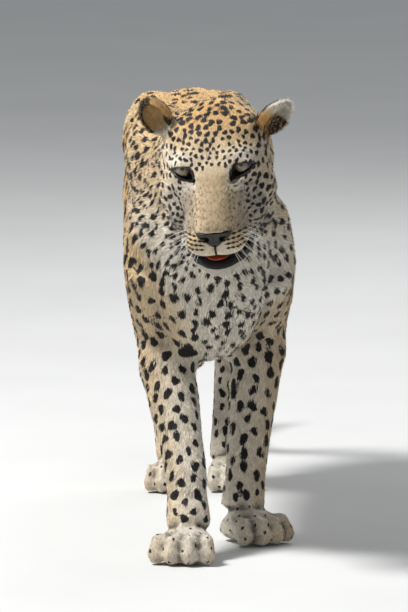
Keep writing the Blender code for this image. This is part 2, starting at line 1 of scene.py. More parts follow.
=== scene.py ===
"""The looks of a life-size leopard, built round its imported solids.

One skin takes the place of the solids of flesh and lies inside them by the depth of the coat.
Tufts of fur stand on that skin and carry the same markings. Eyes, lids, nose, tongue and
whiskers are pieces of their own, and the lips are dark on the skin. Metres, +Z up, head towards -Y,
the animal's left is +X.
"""

import json
import math

import bmesh
import bpy
import numpy as np
from bpy.props import FloatProperty, FloatVectorProperty, IntProperty, PointerProperty
from mathutils import Matrix, Vector
from mathutils.bvhtree import BVHTree
from mathutils.noise import fractal
from mathutils.kdtree import KDTree

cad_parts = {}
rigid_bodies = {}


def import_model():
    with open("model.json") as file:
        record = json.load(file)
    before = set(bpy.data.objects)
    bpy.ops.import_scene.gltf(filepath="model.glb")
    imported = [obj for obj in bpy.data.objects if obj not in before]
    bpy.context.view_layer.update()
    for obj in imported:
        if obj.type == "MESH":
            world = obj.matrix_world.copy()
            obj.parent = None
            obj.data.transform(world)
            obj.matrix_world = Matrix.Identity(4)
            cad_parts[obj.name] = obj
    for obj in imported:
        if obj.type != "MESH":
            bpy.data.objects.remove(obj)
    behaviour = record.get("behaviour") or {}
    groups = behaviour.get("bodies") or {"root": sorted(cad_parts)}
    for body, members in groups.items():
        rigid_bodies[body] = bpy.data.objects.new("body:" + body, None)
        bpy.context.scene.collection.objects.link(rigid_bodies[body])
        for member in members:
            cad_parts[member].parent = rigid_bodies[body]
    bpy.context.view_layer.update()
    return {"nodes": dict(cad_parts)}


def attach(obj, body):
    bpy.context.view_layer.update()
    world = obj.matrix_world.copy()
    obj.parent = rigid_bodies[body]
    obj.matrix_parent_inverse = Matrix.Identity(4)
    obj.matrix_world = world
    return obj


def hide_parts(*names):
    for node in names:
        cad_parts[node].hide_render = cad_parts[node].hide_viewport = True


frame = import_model()
NODES = frame["nodes"]

bl_info = {
    "name": "Leopard looks",
    "version": (1, 0, 0),
    "blender": (4, 5, 0),
    "location": "3D view > Sidebar > Leopard",
    "description": "Skin, coat, eyes, nose, mouth and whiskers of a life-size leopard",
    "category": "Object",
}

# Where the working frame of the solids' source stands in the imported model
SHIFT = Vector((-0.0061, -0.4252, 0.0))
EYE_SPREAD = 0.0445
EYE_RADIUS = 0.0165
# Height and depth of the middle of the eyes in the head's frame, in millimetres
EYE_HEIGHT = 9.4
EYE_DEPTH = 4.8
HEAD = (
    Matrix.Translation(Vector((0.006, -0.310, 0.600)) + SHIFT)
    @ Matrix.Rotation(math.radians(-5.5), 4, "Z")
    @ Matrix.Rotation(math.radians(18), 4, "X")
    @ Matrix.Rotation(math.radians(-5), 4, "Y")
)
LEFT, RIGHT = 1, -1
# How far the face is bowed against the line of sight, in degrees
VIEW_PITCH = 25
# The way both eyes look, in the model
GAZE = Vector((-0.15, -1.0, 0.13))
# How far the solids are swollen before they are melted, so that the cuts between them close
SEAM_SWELL = 0.0005
FLESH_WORDS = ("head", "jaw", "ear", "neck", "torso", "tail", "leg")
FLESH = [name for name in NODES if name.split("_")[0] in FLESH_WORDS]

# For each kind of node: depth of the coat, length of a tuft, width of a tuft (mm), how far the
# tufts stand off the skin (degrees), tufts per square centimetre
COAT = {
    "head": (4.0, 6.8, 0.70, 16, 46),
    "jaw": (3.5, 6.0, 0.65, 18, 44),
    "ear": (1.2, 6.5, 0.60, 20, 44),
    "neck": (7.0, 11.5, 0.95, 17, 27),
    "torso": (7.0, 11.5, 1.05, 15, 22),
    "tail": (5.0, 12.5, 1.05, 20, 25),
    "upper": (6.0, 10.5, 0.95, 15, 25),
    "lower": (4.5, 8.8, 0.85, 14, 30),
    "paw": (2.8, 5.5, 0.72, 15, 34),
}
# Most that a dark piece of a rosette reaches out to each side of its ring, in metres
ROSETTE_THICK = 0.0078
# How deep the roots of the tufts stand in the skin, and where along a tuft its markings are read
ROOT_DEPTH = 0.0006
SPOT_READ = 0.65
# Triangles of one tuft, and the most that one piece of the coat may have
TUFT_TRIANGLES = 3
PIECE_TRIANGLES = 195000
# Side of the patch that each tuft has on the map
UV_PATCH = 0.003


# The camera: distance and height in metres, and height of the frame, rise of the horizon over
# the frame and focal length in pixels
CAMERA_DISTANCE = 13.3
CAMERA_HEIGHT = 1.96
FRAME_HEIGHT = 612
HORIZON = 735
FOCAL = 8667


# Small helpers for making and keeping pieces
def alone(obj):
    """Selects this object and nothing else."""
    bpy.ops.object.select_all(action="DESELECT")
    obj.select_set(True)
    bpy.context.view_layer.objects.active = obj
    return obj


def applied(obj):
    """Applies every modifier of the object, first to last."""
    alone(obj)
    for modifier in list(obj.modifiers):
        bpy.ops.object.modifier_apply(modifier=modifier.name)
    return obj


def copy_of(node, name):
    """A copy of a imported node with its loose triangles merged."""
    obj = bpy.data.objects.new(name, NODES[node].data.copy())
    bpy.context.scene.collection.objects.link(obj)
    obj.data.materials.clear()
    bm = bmesh.new()
    bm.from_mesh(obj.data)
    bmesh.ops.remove_doubles(bm, verts=bm.verts, dist=1e-5)
    bm.to_mesh(obj.data)
    bm.free()
    return obj


def points_of(obj):
    data = np.empty(len(obj.data.vertices) * 3)
    obj.data.vertices.foreach_get("co", data)
    return data.reshape(-1, 3)


def set_points(obj, points):
    obj.data.vertices.foreach_set("co", points.ravel())
    obj.data.update()


def normals_of(obj):
    data = np.empty(len(obj.data.vertices) * 3)
    obj.data.vertex_normals.foreach_get("vector", data)
    return data.reshape(-1, 3)


def edges_of(obj):
    data = np.empty(len(obj.data.edges) * 2, dtype=np.int64)
    obj.data.edges.foreach_get("vertices", data)
    return data.reshape(-1, 2)


def triangles_of(obj):
    obj.data.calc_loop_triangles()
    data = np.empty(len(obj.data.loop_triangles) * 3, dtype=np.int64)
    obj.data.loop_triangles.foreach_get("vertices", data)
    return data.reshape(-1, 3)


def unit(vectors):
    length = np.linalg.norm(vectors, axis=-1, keepdims=True)
    return vectors / np.maximum(length, 1e-9)


def blurred(values, edges, rounds):
    """Values at the vertices, averaged with their neighbours that many times."""
    count = len(values)
    flat = values.reshape(count, -1).astype(float)
    degree = np.bincount(edges.ravel(), minlength=count).astype(float)[:, None] + 1
    for _ in range(rounds):
        total = flat.copy()
        for axis in range(flat.shape[1]):
            total[:, axis] += np.bincount(edges[:, 0], flat[edges[:, 1], axis], minlength=count)
            total[:, axis] += np.bincount(edges[:, 1], flat[edges[:, 0], axis], minlength=count)
        flat = total / degree
    return flat.reshape(values.shape)


def smooth_step(low, high, value):
    t = np.clip((value - low) / (high - low), 0, 1)
    return t * t * (3 - 2 * t)


def in_head(points):
    """Points of the model in millimetres of the head's own frame."""
    inverse = np.array(HEAD.inverted())
    return (points @ inverse[:3, :3].T + inverse[:3, 3]) * 1000


def oval(local, centre, radii):
    """Distance of head points from the middle of an oval, 1 on its surface."""
    return np.linalg.norm((local - centre) / radii, axis=1)


def head_point(x, y, z):
    """A point given in millimetres of the head's own frame, in the model."""
    return HEAD @ Vector((x / 1000, y / 1000, z / 1000))


def keep(obj, name, nodes):
    """Names a finished piece, hangs it on the root body and hides the imported nodes that it takes the place
    of.
    """
    obj.name = name
    obj.data.name = name
    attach(obj, "root")
    if nodes:
        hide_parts(*nodes)
    return obj


def add_attribute(obj, name, values):
    attribute = obj.data.attributes.new(name, "FLOAT", "POINT")
    attribute.data.foreach_set("value", np.ascontiguousarray(values, dtype=np.float32))


# Shader helpers
def new_material(name):
    made = bpy.data.materials.new(name)
    made.use_nodes = True
    nodes = made.node_tree.nodes
    return made, made.node_tree, nodes["Principled BSDF"]


def add_node(tree, kind, **settings):
    node = tree.nodes.new(kind)
    for key, value in settings.items():
        if key in node.inputs:
            node.inputs[key].default_value = value
        else:
            setattr(node, key, value)
    return node


def seen_height(local):
    """Height of head points as seen from the front, in millimetres above the middle of the eyes."""
    slope = math.radians(VIEW_PITCH)
    return local[:, 2] * math.cos(slope) + local[:, 1] * math.sin(slope)


def linear(red, green, blue):
    """A colour given as it looks on a screen, as a shader wants it."""
    return tuple(((c + 0.055) / 1.055) ** 2.4 if c > 0.04045 else c / 12.92 for c in (red, green, blue))


def attribute(tree, name):
    return add_node(tree, "ShaderNodeAttribute", attribute_name=name).outputs["Fac"]


def mixed(tree, factor, first, second, blend="MIX"):
    """A colour mix; each of the three may be a socket or a value."""
    node = add_node(tree, "ShaderNodeMix", data_type="RGBA", blend_type=blend)
    for socket, value in ((node.inputs[0], factor), (node.inputs[6], first), (node.inputs[7], second)):
        if isinstance(value, bpy.types.NodeSocket):
            tree.links.new(value, socket)
        elif isinstance(value, tuple):
            socket.default_value = (*value, 1)
        else:
            socket.default_value = value
    return node.outputs[2]


def ramped(tree, value, low, high, out_low=0.0, out_high=1.0):
    node = add_node(tree, "ShaderNodeMapRange", interpolation_type="SMOOTHSTEP")
    tree.links.new(value, node.inputs["Value"])
    for name, number in (("From Min", low), ("From Max", high), ("To Min", out_low), ("To Max", out_high)):
        node.inputs[name].default_value = number
    return node.outputs["Result"]


def noise(tree, scale, detail=3.0, stretch=None):
    """Noise over the object's own coordinates."""
    place = add_node(tree, "ShaderNodeTexCoord").outputs["Object"]
    if stretch:
        mapping = add_node(tree, "ShaderNodeMapping")
        mapping.inputs["Scale"].default_value = stretch
        tree.links.new(place, mapping.inputs["Vector"])
        place = mapping.outputs["Vector"]
    node = add_node(tree, "ShaderNodeTexNoise", Scale=scale, Detail=detail)
    tree.links.new(place, node.inputs["Vector"])
    return node.outputs["Fac"]


def bumped(tree, shader, height, distance, strength=1.0):
    bump = add_node(tree, "ShaderNodeBump", Strength=strength, Distance=distance)
    tree.links.new(height, bump.inputs["Height"])
    tree.links.new(bump.outputs["Normal"], shader.inputs["Normal"])


def coat_colour_group(grey):
    """The colour of the coat from warmth, spots, the ground inside rosettes, grey and tint."""
    group = bpy.data.node_groups.new("Leopard coat colour", "ShaderNodeTree")
    fields = (("Warm", 0, 1), ("Spot", -50, 50), ("Inside", 0, 1), ("Grey", 0, 1), ("Tint", 0, 1))
    for name, low, high in fields:
        socket = group.interface.new_socket(name, in_out="INPUT", socket_type="NodeSocketFloat")
        socket.min_value, socket.max_value = low, high
    for name in ("White", "Gold", "Deep gold", "Black"):
        group.interface.new_socket(name, in_out="INPUT", socket_type="NodeSocketColor")
    group.interface.new_socket("Color", in_out="OUTPUT", socket_type="NodeSocketColor")
    start = group.nodes.new("NodeGroupInput")
    end = group.nodes.new("NodeGroupOutput")
    warm, white, gold = (start.outputs[name] for name in ("Warm", "White", "Gold"))
    deep_gold = start.outputs["Deep gold"]
    ground = mixed(group, ramped(group, warm, 0.0, 0.55), white, gold)
    ground = mixed(group, ramped(group, warm, 0.5, 1.0), ground, deep_gold)
    core = ramped(group, start.outputs["Inside"], 0.0, 1.0, 0.0, 0.55)
    ground = mixed(group, core, ground, deep_gold)
    ground = mixed(group, start.outputs["Grey"], ground, grey)
    shade = ramped(group, start.outputs["Tint"], 0.0, 1.0, 0.62, 1.22)
    grain = add_node(group, "ShaderNodeCombineColor")
    for channel in ("Red", "Green", "Blue"):
        group.links.new(shade, grain.inputs[channel])
    ground = mixed(group, 1.0, ground, grain.outputs["Color"], "MULTIPLY")
    black = ramped(group, start.outputs["Spot"], -0.5, 0.5, 1.0, 0.0)
    spotted = mixed(group, black, ground, start.outputs["Black"])
    group.links.new(spotted, end.inputs["Color"])
    return group


# The animal's fields: what each place of the skin is like
def node_kind(name):
    if name.startswith("leg"):
        return name.split("_")[-1]
    return name.split("_")[0]


def nearest_nodes(points):
    """For each point, the number in FLESH of the node whose surface is nearest."""
    corners = []
    owner = []
    for number, name in enumerate(FLESH):
        mesh = NODES[name].data
        co = np.empty(len(mesh.vertices) * 3)
        mesh.vertices.foreach_get("co", co)
        corners.append(np.unique(co.reshape(-1, 3).round(4), axis=0))
        owner.append(np.full(len(corners[-1]), number))
    corners = np.concatenate(corners)
    owner = np.concatenate(owner)
    tree = KDTree(len(corners))
    for k, corner in enumerate(corners):
        tree.insert(corner, k)
    tree.balance()
    return np.array([owner[tree.find(point)[1]] for point in points])


# Middle of the tail from its root to its tip: place along the body and height, in metres
TAIL_PATH = ((0.71, 0.575), (0.78, 0.505), (0.84, 0.405), (0.88, 0.30), (0.935, 0.20))
TAIL_PATH += ((1.03, 0.15), (1.13, 0.16), (1.20, 0.225), (1.23, 0.295))
TAIL_POINTS = np.array([(SHIFT.x, y + SHIFT.y, z) for y, z in TAIL_PATH])
TAIL_STEPS = TAIL_POINTS[1:] - TAIL_POINTS[:-1]
TAIL_LENGTHS = np.linalg.norm(TAIL_STEPS, axis=1)
TAIL_RUNS = np.concatenate([[0], np.cumsum(TAIL_LENGTHS)])


def tail_run(points):
    """Distance along the tail from its root, and the direction of the tail there."""
    best = np.full(len(points), 9.0)
    run = np.zeros(len(points))
    way = np.zeros((len(points), 3))
    for start, step, length, before in zip(TAIL_POINTS, TAIL_STEPS, TAIL_LENGTHS, TAIL_RUNS):
        t = np.clip(((points - start) @ step) / length**2, 0, 1)
        gap = np.linalg.norm(points - start - t[:, None] * step, axis=1)
        near = gap < best
        best[near] = gap[near]
        run[near] = before + t[near] * length
        way[near] = step / length
    return run, way


def lie_of(points, kinds, owner):
    """The way that the fur lies at each point, before it is laid flat on the skin."""
    way = np.zeros_like(points)
    way[:] = (0, 1.0, -0.45)
    nose = np.array(HEAD @ Vector((0, -0.100, -0.060)))
    face = kinds == "head"
    away = unit(points - nose)
    way[face] = away[face] + (0, 0.15, -0.10)
    jaw = kinds == "jaw"
    way[jaw] = (0, 1.0, -0.35)
    for name, (root, _, _) in EAR_FRAMES.items():
        mine = owner == FLESH.index(name)
        way[mine] = unit(points[mine] - np.array(head_point(*root)))
    tail = kinds == "tail"
    if tail.any():
        way[tail] = tail_run(points[tail])[1]
    way[kinds == "neck"] = (0, 0.9, -0.55)
    way[kinds == "upper"] = (0, 0.35, -1.0)
    way[kinds == "lower"] = (0, 0.12, -1.0)
    way[kinds == "paw"] = (0, -0.75, -0.75)
    return unit(way)


def warmth_of(points, normals, kinds):
    """How golden the ground of the coat is, from 0 for white to 1 for deep gold, and how grey."""
    x, y, z = (points - np.array(SHIFT)).T
    warm = smooth_step(0.36, 0.60, z) * 0.56 + 0.10
    warm += 0.12 * smooth_step(0.0, 0.9, normals[:, 2])
    warm += 0.05 * (np.sin(points @ (90, 120, 70)) + np.sin(points @ (-105, 55, 98)))
    grey = np.zeros(len(points))
    front = smooth_step(0.04, -0.16, y) * smooth_step(0.045, -0.75, normals[:, 1])
    neck = np.isin(kinds, ("neck", "torso"))
    warm = np.where(neck, warm * (1 - 0.75 * front * smooth_step(0.60, 0.48, z)), warm)
    warm = np.where(neck, warm * (1 - 0.30 * smooth_step(0.4, 0.9, np.abs(normals[:, 0]))), warm)
    legs = np.isin(kinds, ("upper", "lower", "paw"))
    outer = smooth_step(0.0, 0.8, np.abs(normals[:, 0]) * np.sign(normals[:, 0] * x))
    leg_warm = 0.06 + 0.28 * outer + 0.12 * smooth_step(0.0, 0.7, -normals[:, 1])
    leg_warm += 0.24 * smooth_step(0.34, 0.54, z)
    warm = np.where(legs, leg_warm, warm)
    warm = np.where((kinds == "lower") | (kinds == "paw"), leg_warm * 0.85, warm)
    tail = kinds == "tail"
    warm = np.where(tail, 0.45 + 0.25 * normals[:, 2], warm)
    local = in_head(points)
    hy, hz = local[:, 1], local[:, 2]
    high = seen_height(local)
    side = np.abs(local[:, 0])
    head = kinds == "head"
    gold = 0.36 + 0.50 * smooth_step(25, 85, high)
    gold += 0.20 * smooth_step(36, 10, side) * smooth_step(10, -20, high)
    gold += 0.34 * np.exp(-(((side - 34) / 18) ** 2) - ((high + 98) / 11) ** 2)
    # White patches: strength, distance out, seen height, reach across and up
    patches = (
        (0.80, 13, -87, 16, 2.6),
        (0.95, 51, 25, 17, 9),
        (0.85, 80, 50, 15, 20),
        (0.75, 46, -20, 20, 9),
        (0.60, 64, -52, 17, 42),
        (0.55, 29, -6, 6, 12),
        (0.90, 14, -110, 12, 9),
    )
    for strength, at_side, at_high, across, up in patches:
        reach = ((side - at_side) / across) ** 2 + ((high - at_high) / up) ** 2
        gold = gold * (1 - strength * np.exp(-reach))
    warm = np.where(head, gold, warm)
    jaw = (kinds == "jaw") | (head & (hz < -92))
    warm = np.where(jaw, 0.05, warm)
    grey = np.where(jaw & (hy < -20), 0.40, grey)
    muzzle = 0.46 * smooth_step(20, 36, side) * smooth_step(0, -30, high) * smooth_step(-96, -80, high)
    grey = np.where(head & (hy < 0), muzzle, grey)
    bridge = 0.34 * smooth_step(26, 14, side) * smooth_step(0, -18, high) * smooth_step(-92, -80, high)
    beside = 0.55 * np.exp(-(((side - 67) / 9) ** 2) - ((high + 78) / 20) ** 2)
    grey = np.where(head & (hy < 40), np.maximum(grey, np.maximum(bridge, beside)), grey)
    ear = kinds == "ear"
    warm = np.where(ear, 0.55, warm)
    return np.clip(warm, 0, 1), np.clip(grey, 0, 1)


# The two large dark bars of the upper forelegs: place x and z, half length and half width, in metres
INNER_BARS = ((-0.034, 0.305, 0.0130, 0.0150), (0.038, 0.234, 0.0150, 0.0110))


class Markings:
    """Spots and rosettes scattered over the skin, and the distance to the nearest edge of one."""

    def __init__(self, points, normals, kinds, lie, seed):
        self.random = np.random.default_rng(seed)
        self.centres = []
        self.frames = []
        self.rings = []
        self.radii = []
        self.phases = []
        self.scatter(points, normals, kinds, lie)

    def sizes(self, points, kinds):
        """Spacing, radius along the lie, radius across it and ring radius, in metres."""
        _, y, z = (points - np.array(SHIFT)).T
        local = in_head(points)
        side = np.abs(local[:, 0])
        high = seen_height(local)
        fields = [np.full(len(points), value) for value in (0.030, 0.0095, 0.0075, 0.0)]

        def choose(where, *values):
            for field, value in zip(fields, values):
                field[where] = np.broadcast_to(value, len(points))[where]

        head = kinds == "head"
        crown = smooth_step(38, 85, high)
        flank = smooth_step(52, 74, side)
        choose(
            head,
            0.0084 + 0.0038 * crown + 0.0044 * flank,
            0.0044 + 0.0025 * crown + 0.0024 * flank,
            0.0029 + 0.0024 * crown + 0.0016 * flank,
        )
        choose(head & (high < 8) & (side < 50) & (local[:, 1] < 20), 9.0)
        choose(kinds == "jaw", 9.0)
        choose(kinds == "ear", 9.0)
        choose(kinds == "neck", 0.0130, 0.0076, 0.0045)
        torso = kinds == "torso"
        choose(torso, 0.0168, 0.0084, 0.0054)
        choose(torso & (z > 0.55), 0.0165, 0.0092, 0.0062)
        barrel = torso & (y > 0.10)
        choose(barrel, 0.0235, 0.0105, 0.0080)
        choose(barrel & (z > 0.39), 0.0415, 0.0105, 0.0080, 0.0152)
        upper = kinds == "upper"
        choose(upper & (y < 0.3), 0.0192, 0.0096, 0.0066)
        choose(upper & (y > 0.3), 0.0255, 0.0115, 0.0088)
        choose(upper & (y > 0.3) & (z > 0.40), 0.0395, 0.0110, 0.0085, 0.0142)
        choose(kinds == "lower", 0.0188, 0.0086, 0.0070)
        choose(kinds == "paw", 0.0175, 0.0036, 0.0025)
        choose((kinds == "paw") & (z > 0.062), 0.0165, 0.0078, 0.0054)
        choose(kinds == "tail", 0.0300, 0.0115, 0.0100)
        return fields

    def scatter(self, points, normals, kinds, lie):
        """Throws marks at the skin and keeps those that are far enough from the rest."""
        spacing, long, wide, ring = self.sizes(points, kinds)
        grid = Grid(points)
        free = spacing < 1
        for x, z, half_long, half_wide in INNER_BARS:
            found = np.flatnonzero(np.hypot(points[:, 0] - x, points[:, 2] - z) < 0.004)
            k = found[np.argmin(points[found, 1])]
            near = grid.near(points[k], 0.03)
            free[near[np.linalg.norm(points[near] - points[k], axis=1) < half_long + 0.006]] = False
            self.add(points[k], normals[k], lie[k], half_long, half_wide, 0.0)
        for k in self.random.permutation(len(points)):
            if not free[k]:
                continue
            near = grid.near(points[k], spacing[k] * 1.15)
            gap = np.linalg.norm(points[near] - points[k], axis=1)
            free[near[gap < (spacing[near].clip(0, 0.1) + spacing[k]) / 2]] = False
            free[k] = False
            self.add(points[k], normals[k], lie[k], long[k], wide[k], ring[k])

    def add(self, place, normal, way, long, wide, ring):
        """One mark: a solid spot, or a rosette where ring is not 0."""
        jitter = self.random.uniform
        way = way - normal * (way @ normal)
        way = way / max(np.linalg.norm(way), 1e-6)
        across = np.cross(normal, way)
        turn = jitter(-0.5, 0.5)
        along = way * math.cos(turn) + across * math.sin(turn)
        across = np.cross(normal, along)
        size = jitter(0.82, 1.12)
        self.centres.append(place)
        self.frames.append((along, across, normal))
        self.radii.append((long * size, wide * size * jitter(0.85, 1.12)))
        self.rings.append(ring * jitter(0.82, 1.2))
        self.phases.append(jitter(0, 2 * math.pi, 4))

    def measure(self, points):
        """Signed distance in millimetres to the marks (negative inside) and how far inside a rosette."""
        spot = np.full(len(points), 40.0)
        inside = np.zeros(len(points))
        grid = Grid(points)
        for centre, (along, across, normal), (long, wide), ring, phase in zip(
            self.centres, self.frames, self.radii, self.rings, self.phases
        ):
            found = grid.near(centre, max(0.020, ring * 2.0))
            if not len(found):
                continue
            offset = points[found] - centre
            u, v, w = offset @ along, offset @ across, offset @ normal
            angle = np.arctan2(v, u)
            if ring > 0:
                distance = np.sqrt((u / 1.12) ** 2 + (v / 0.92) ** 2 + (w * 0.7) ** 2)
                wave = 1 + 0.16 * np.sin(2 * angle + phase[0]) + 0.09 * np.sin(5 * angle + phase[1])
                lobes = 3 + int(phase[2] * 10) % 3
                thick = 0.0105 * (0.42 + 0.75 * np.cos(lobes * angle + phase[3]))
                thick = np.minimum(thick, ROSETTE_THICK)
                value = (np.abs(distance - ring * wave) - thick) * 1000
                core = smooth_step(ring * 1.15, ring * 0.7, distance)
                inside[found] = np.maximum(inside[found], core)
            else:
                distance = np.sqrt((u / long) ** 2 + (v / wide) ** 2 + (w / (0.6 * long)) ** 2)
                wave = 1 + 0.12 * np.sin(2 * angle + phase[0]) + 0.12 * np.sin(3 * angle + phase[1])
                value = (distance - wave) * math.sqrt(long * wide) * 1000
            spot[found] = np.minimum(spot[found], value)
        return spot, inside


# Seen heights of the rows of the whiskers near the nose, halfway and at the cheek
WHISKER_ROWS = ((-96, -91, -80), (-102, -98, -88), (-108, -105, -96), (-114, -112, -104))
# Places of the face that are set in deeper: distance out, seen height, reach across and up, depth (mm)
HOLLOWS = (
    (33, -15, 8, 9, 2.2),
    (31, -44, 7, 24, 2.4),
    (72, 18, 10, 12, 2.0),
    (56, -34, 9, 14, 1.4),
    (14, 24, 6, 14, 1.0),
)
# Furrows of the face: a line of distances out and seen heights, half width and depth (mm)
FURROWS = (
    (((47, -58), (55, -76), (60, -100)), 5.0, 3.4),
    (((4, 12), (6, 34)), 2.6, 1.1),
    (((0, -92), (0, -118)), 2.4, 2.0),
    (((22, -92), (31, -84), (35, -72)), 3.0, 1.5),
    (((66, -8), (50, -16), (36, -20)), 3.0, 1.2),
)
# Half of the opening between the lids as seen from the front: distance out from the middle of
# the face and seen height, in millimetres, from the outer corner over the top and back
LIDS = ((65, 12), (57, 13.2), (46, 13.2), (34, 12), (28.5, 5), (27.5, -9.5), (36, -7.5), (47, -5), (57, 2))


def inside_lids(points, side):
    """Signed distance in millimetres to the opening of one eye in the seen plane, negative inside."""
    local = in_head(points)
    seen = np.stack([local[:, 0] * side, seen_height(local)], axis=1)
    ring = np.array(LIDS + LIDS[:1], dtype=float)
    gap, _ = line_distance(seen, ring)
    odd = np.zeros(len(points), dtype=bool)
    for (x0, v0), (x1, v1) in zip(ring[:-1], ring[1:]):
        crosses = (v0 > seen[:, 1]) != (v1 > seen[:, 1])
        with np.errstate(divide="ignore", invalid="ignore"):
            odd ^= crosses & (seen[:, 0] < x0 + (seen[:, 1] - v0) / (v1 - v0) * (x1 - x0))
    near = eye_distance(local, side) < 34
    return np.where(near, np.where(odd, -gap, gap), 40.0)


def line_distance(points, line):
    """Distance in millimetres from points to a broken line, all in the head's frame."""
    best = np.full(len(points), 99.0)
    share = np.zeros(len(points))
    line = np.array(line, dtype=float)
    for k in range(len(line) - 1):
        step = line[k + 1] - line[k]
        t = np.clip(((points - line[k]) @ step) / max(step @ step, 1e-9), 0, 1)
        gap = np.linalg.norm(points - line[k] - t[:, None] * step, axis=1)
        near = gap < best
        best[near] = gap[near]
        share[near] = (k + t[near]) / (len(line) - 1)
    return best, share


def face_marks(points):
    """Signed distance in millimetres to the dark lids, tear lines, lips and rows of whiskers, and to the
    painted shade inside the mouth.
    """
    local = in_head(points)
    seen = np.stack([local[:, 0], seen_height(local)], axis=1)
    spot = np.full(len(points), 40.0)
    for side in (LEFT, RIGHT):
        below = smooth_step(5, -4, seen[:, 1]) * smooth_step(62, 50, np.abs(local[:, 0]))
        spot = np.minimum(spot, inside_lids(points, side) - 1.3 - 1.3 * below)
        tear = [(side * 28, -20, -6), (side * 27, -29, -17), (side * 30, -36, -27)]
        gap, share = line_distance(local, tear)
        spot = np.minimum(spot, gap - (2.6 - 2.0 * share))
        streak = [(side * 62, 4, 14), (side * 69, 14, 13)]
        gap, share = line_distance(local, streak)
        spot = np.minimum(spot, gap - (2.2 - 1.4 * share))
        front = local[:, 1] < -30
        for row, (low, middle, high) in enumerate(WHISKER_ROWS):
            line = [(side * (14 + row), low), (side * 34, middle), (side * (53 - 2 * row), high)]
            gap, share = line_distance(seen, line)
            beads = 0.6 * np.cos(share * 2 * math.pi * 5 + row)
            spot = np.where(front, np.minimum(spot, gap - 1.35 - beads), spot)
        for x, v, long in ((63, -92, 5), (74, -70, 3), (70, -110, 5), (80, -88, 3)):
            gap, _ = line_distance(seen, [(side * (x - 2), v + long), (side * (x + 2), v - long)])
            spot = np.where(local[:, 1] < 40, np.minimum(spot, gap - 3.0), spot)
        corner = oval(local, (side * 46, -30, -100), (1.0, 1.6, 1.0))
        spot = np.minimum(spot, corner - 9.5)
    # Painted shade: the inside of the open mouth is painted black
    cavity = oval(local, (0, -46, -104), (55, 57, 9.0))
    spot = np.minimum(spot, (cavity - 1) * 8)
    lip = np.abs(local[:, 2] + 113) - 9.5 + 0.06 * np.abs(local[:, 0])
    spot = np.where(local[:, 1] < -18, np.minimum(spot, lip), spot)
    under_nose = (local[:, 2] < -74) & (local[:, 2] > -98) & (local[:, 1] < -70)
    return np.minimum(spot, np.where(under_nose, np.abs(local[:, 0]) - 1.8, 40))


# Each ear in the head's frame: the middle of its root, its way up and the way its opening faces
EAR_FRAMES = {
    "ear_right": ((-74, 82, 40), (-0.42, 0.10, 0.90), (-0.34, -0.92, -0.06)),
    "ear_left": ((73, 80, 30), (0.68, 0.14, 0.66), (0.46, -0.76, -0.48)),
}


def ear_ring(high, wide):
    """Distance from the middle of the face of an ear, 1 at its edge."""
    return np.hypot((high - 26) / 32.5, wide / 26)


def ear_place(points, name):
    """Height up an ear, distance out of its face and distance across it, in millimetres."""
    root, up, face = (np.array(value, dtype=float) for value in EAR_FRAMES[name])
    up /= np.linalg.norm(up)
    face -= up * (face @ up)
    face /= np.linalg.norm(face)
    away = in_head(points) - root
    return away @ up, away @ face, away @ np.cross(up, face)


def ear_marks(points, owner):
    """The black back of each ear round its white spot, its dark edge and the dark place inside, which on the
    right ear is painted shade deep in its cup.
    """
    spot = np.full(len(points), 40.0)
    warm = np.full(len(points), -1.0)
    for name in EAR_FRAMES:
        mine = owner == FLESH.index(name)
        high, out, wide = ear_place(points, name)
        ring = ear_ring(high, wide)
        behind = out < -3 - 6.5 * np.sqrt(np.maximum(1 - ring**2, 0))
        back = np.where(np.hypot((high - 34) / 13, wide / 12) > 1, -3.0, 6.0)
        streaks = np.abs(((wide + 0.25 * high) % 6.0) - 3.0) - 1.0
        if name == "ear_right":
            edge = np.maximum((0.74 - ring) * 25, np.maximum(wide - 8, 8 - high))
            edge = np.maximum(edge, -0.5 - 0.4 * streaks)
            # Painted shade: the dark place low inside this ear, near the head, stands for the shade deep in
            # its cup
            inner = np.hypot((high - 17) / 9, (wide - 16) / 7) * 6 - 6
            pale = 0.30 * smooth_step(0.85, 1.05, ring) + 0.75 * smooth_step(16, 4, high)
        else:
            streaks -= 1.3 * smooth_step(0, 9, wide)
            edge = np.maximum(streaks, np.maximum(high - 34, -wide - 6))
            inner = np.hypot((high - 6) / 6, (wide + 8) / 5) * 6 - 6
            pale = smooth_step(24, 42, high)
        front = np.minimum(np.maximum(inner, -3), np.maximum(edge, -1.2))
        spot = np.where(mine, np.where(behind, back, front), spot)
        warm = np.where(mine, np.where(behind, 0.02, 0.95 * (1 - pale)), warm)
    return spot, warm


# The skin and what is known at each of its vertices
SKIN = {}


def build_skin(settings):
    """One closed skin from the solids of flesh, before it is set in."""
    parts = []
    for name in FLESH:
        part = copy_of(name, "skin part")
        set_points(part, points_of(part) + normals_of(part) * SEAM_SWELL)
        parts.append(part)
    alone(parts[0])
    for part in parts:
        part.select_set(True)
    bpy.ops.object.join()
    skin = bpy.context.view_layer.objects.active
    skin.data.remesh_voxel_size = settings.skin_grain
    bpy.ops.object.voxel_remesh()
    bpy.ops.object.mode_set(mode="EDIT")
    bpy.ops.mesh.select_all(action="DESELECT")
    bpy.ops.object.mode_set(mode="OBJECT")
    top = int(points_of(skin)[:, 2].argmax())
    skin.data.vertices[top].select = True
    bpy.ops.object.mode_set(mode="EDIT")
    bpy.ops.mesh.select_linked()
    bpy.ops.mesh.select_all(action="INVERT")
    bpy.ops.mesh.delete(type="VERT")
    bpy.ops.object.mode_set(mode="OBJECT")
    set_points(skin, blurred(points_of(skin), edges_of(skin), 3))
    return skin


def eye_distance(local, side):
    """Distance in millimetres from the middle of one eye's ball."""
    return np.linalg.norm(local - (side * EYE_SPREAD * 1000, EYE_DEPTH, EYE_HEIGHT), axis=1)


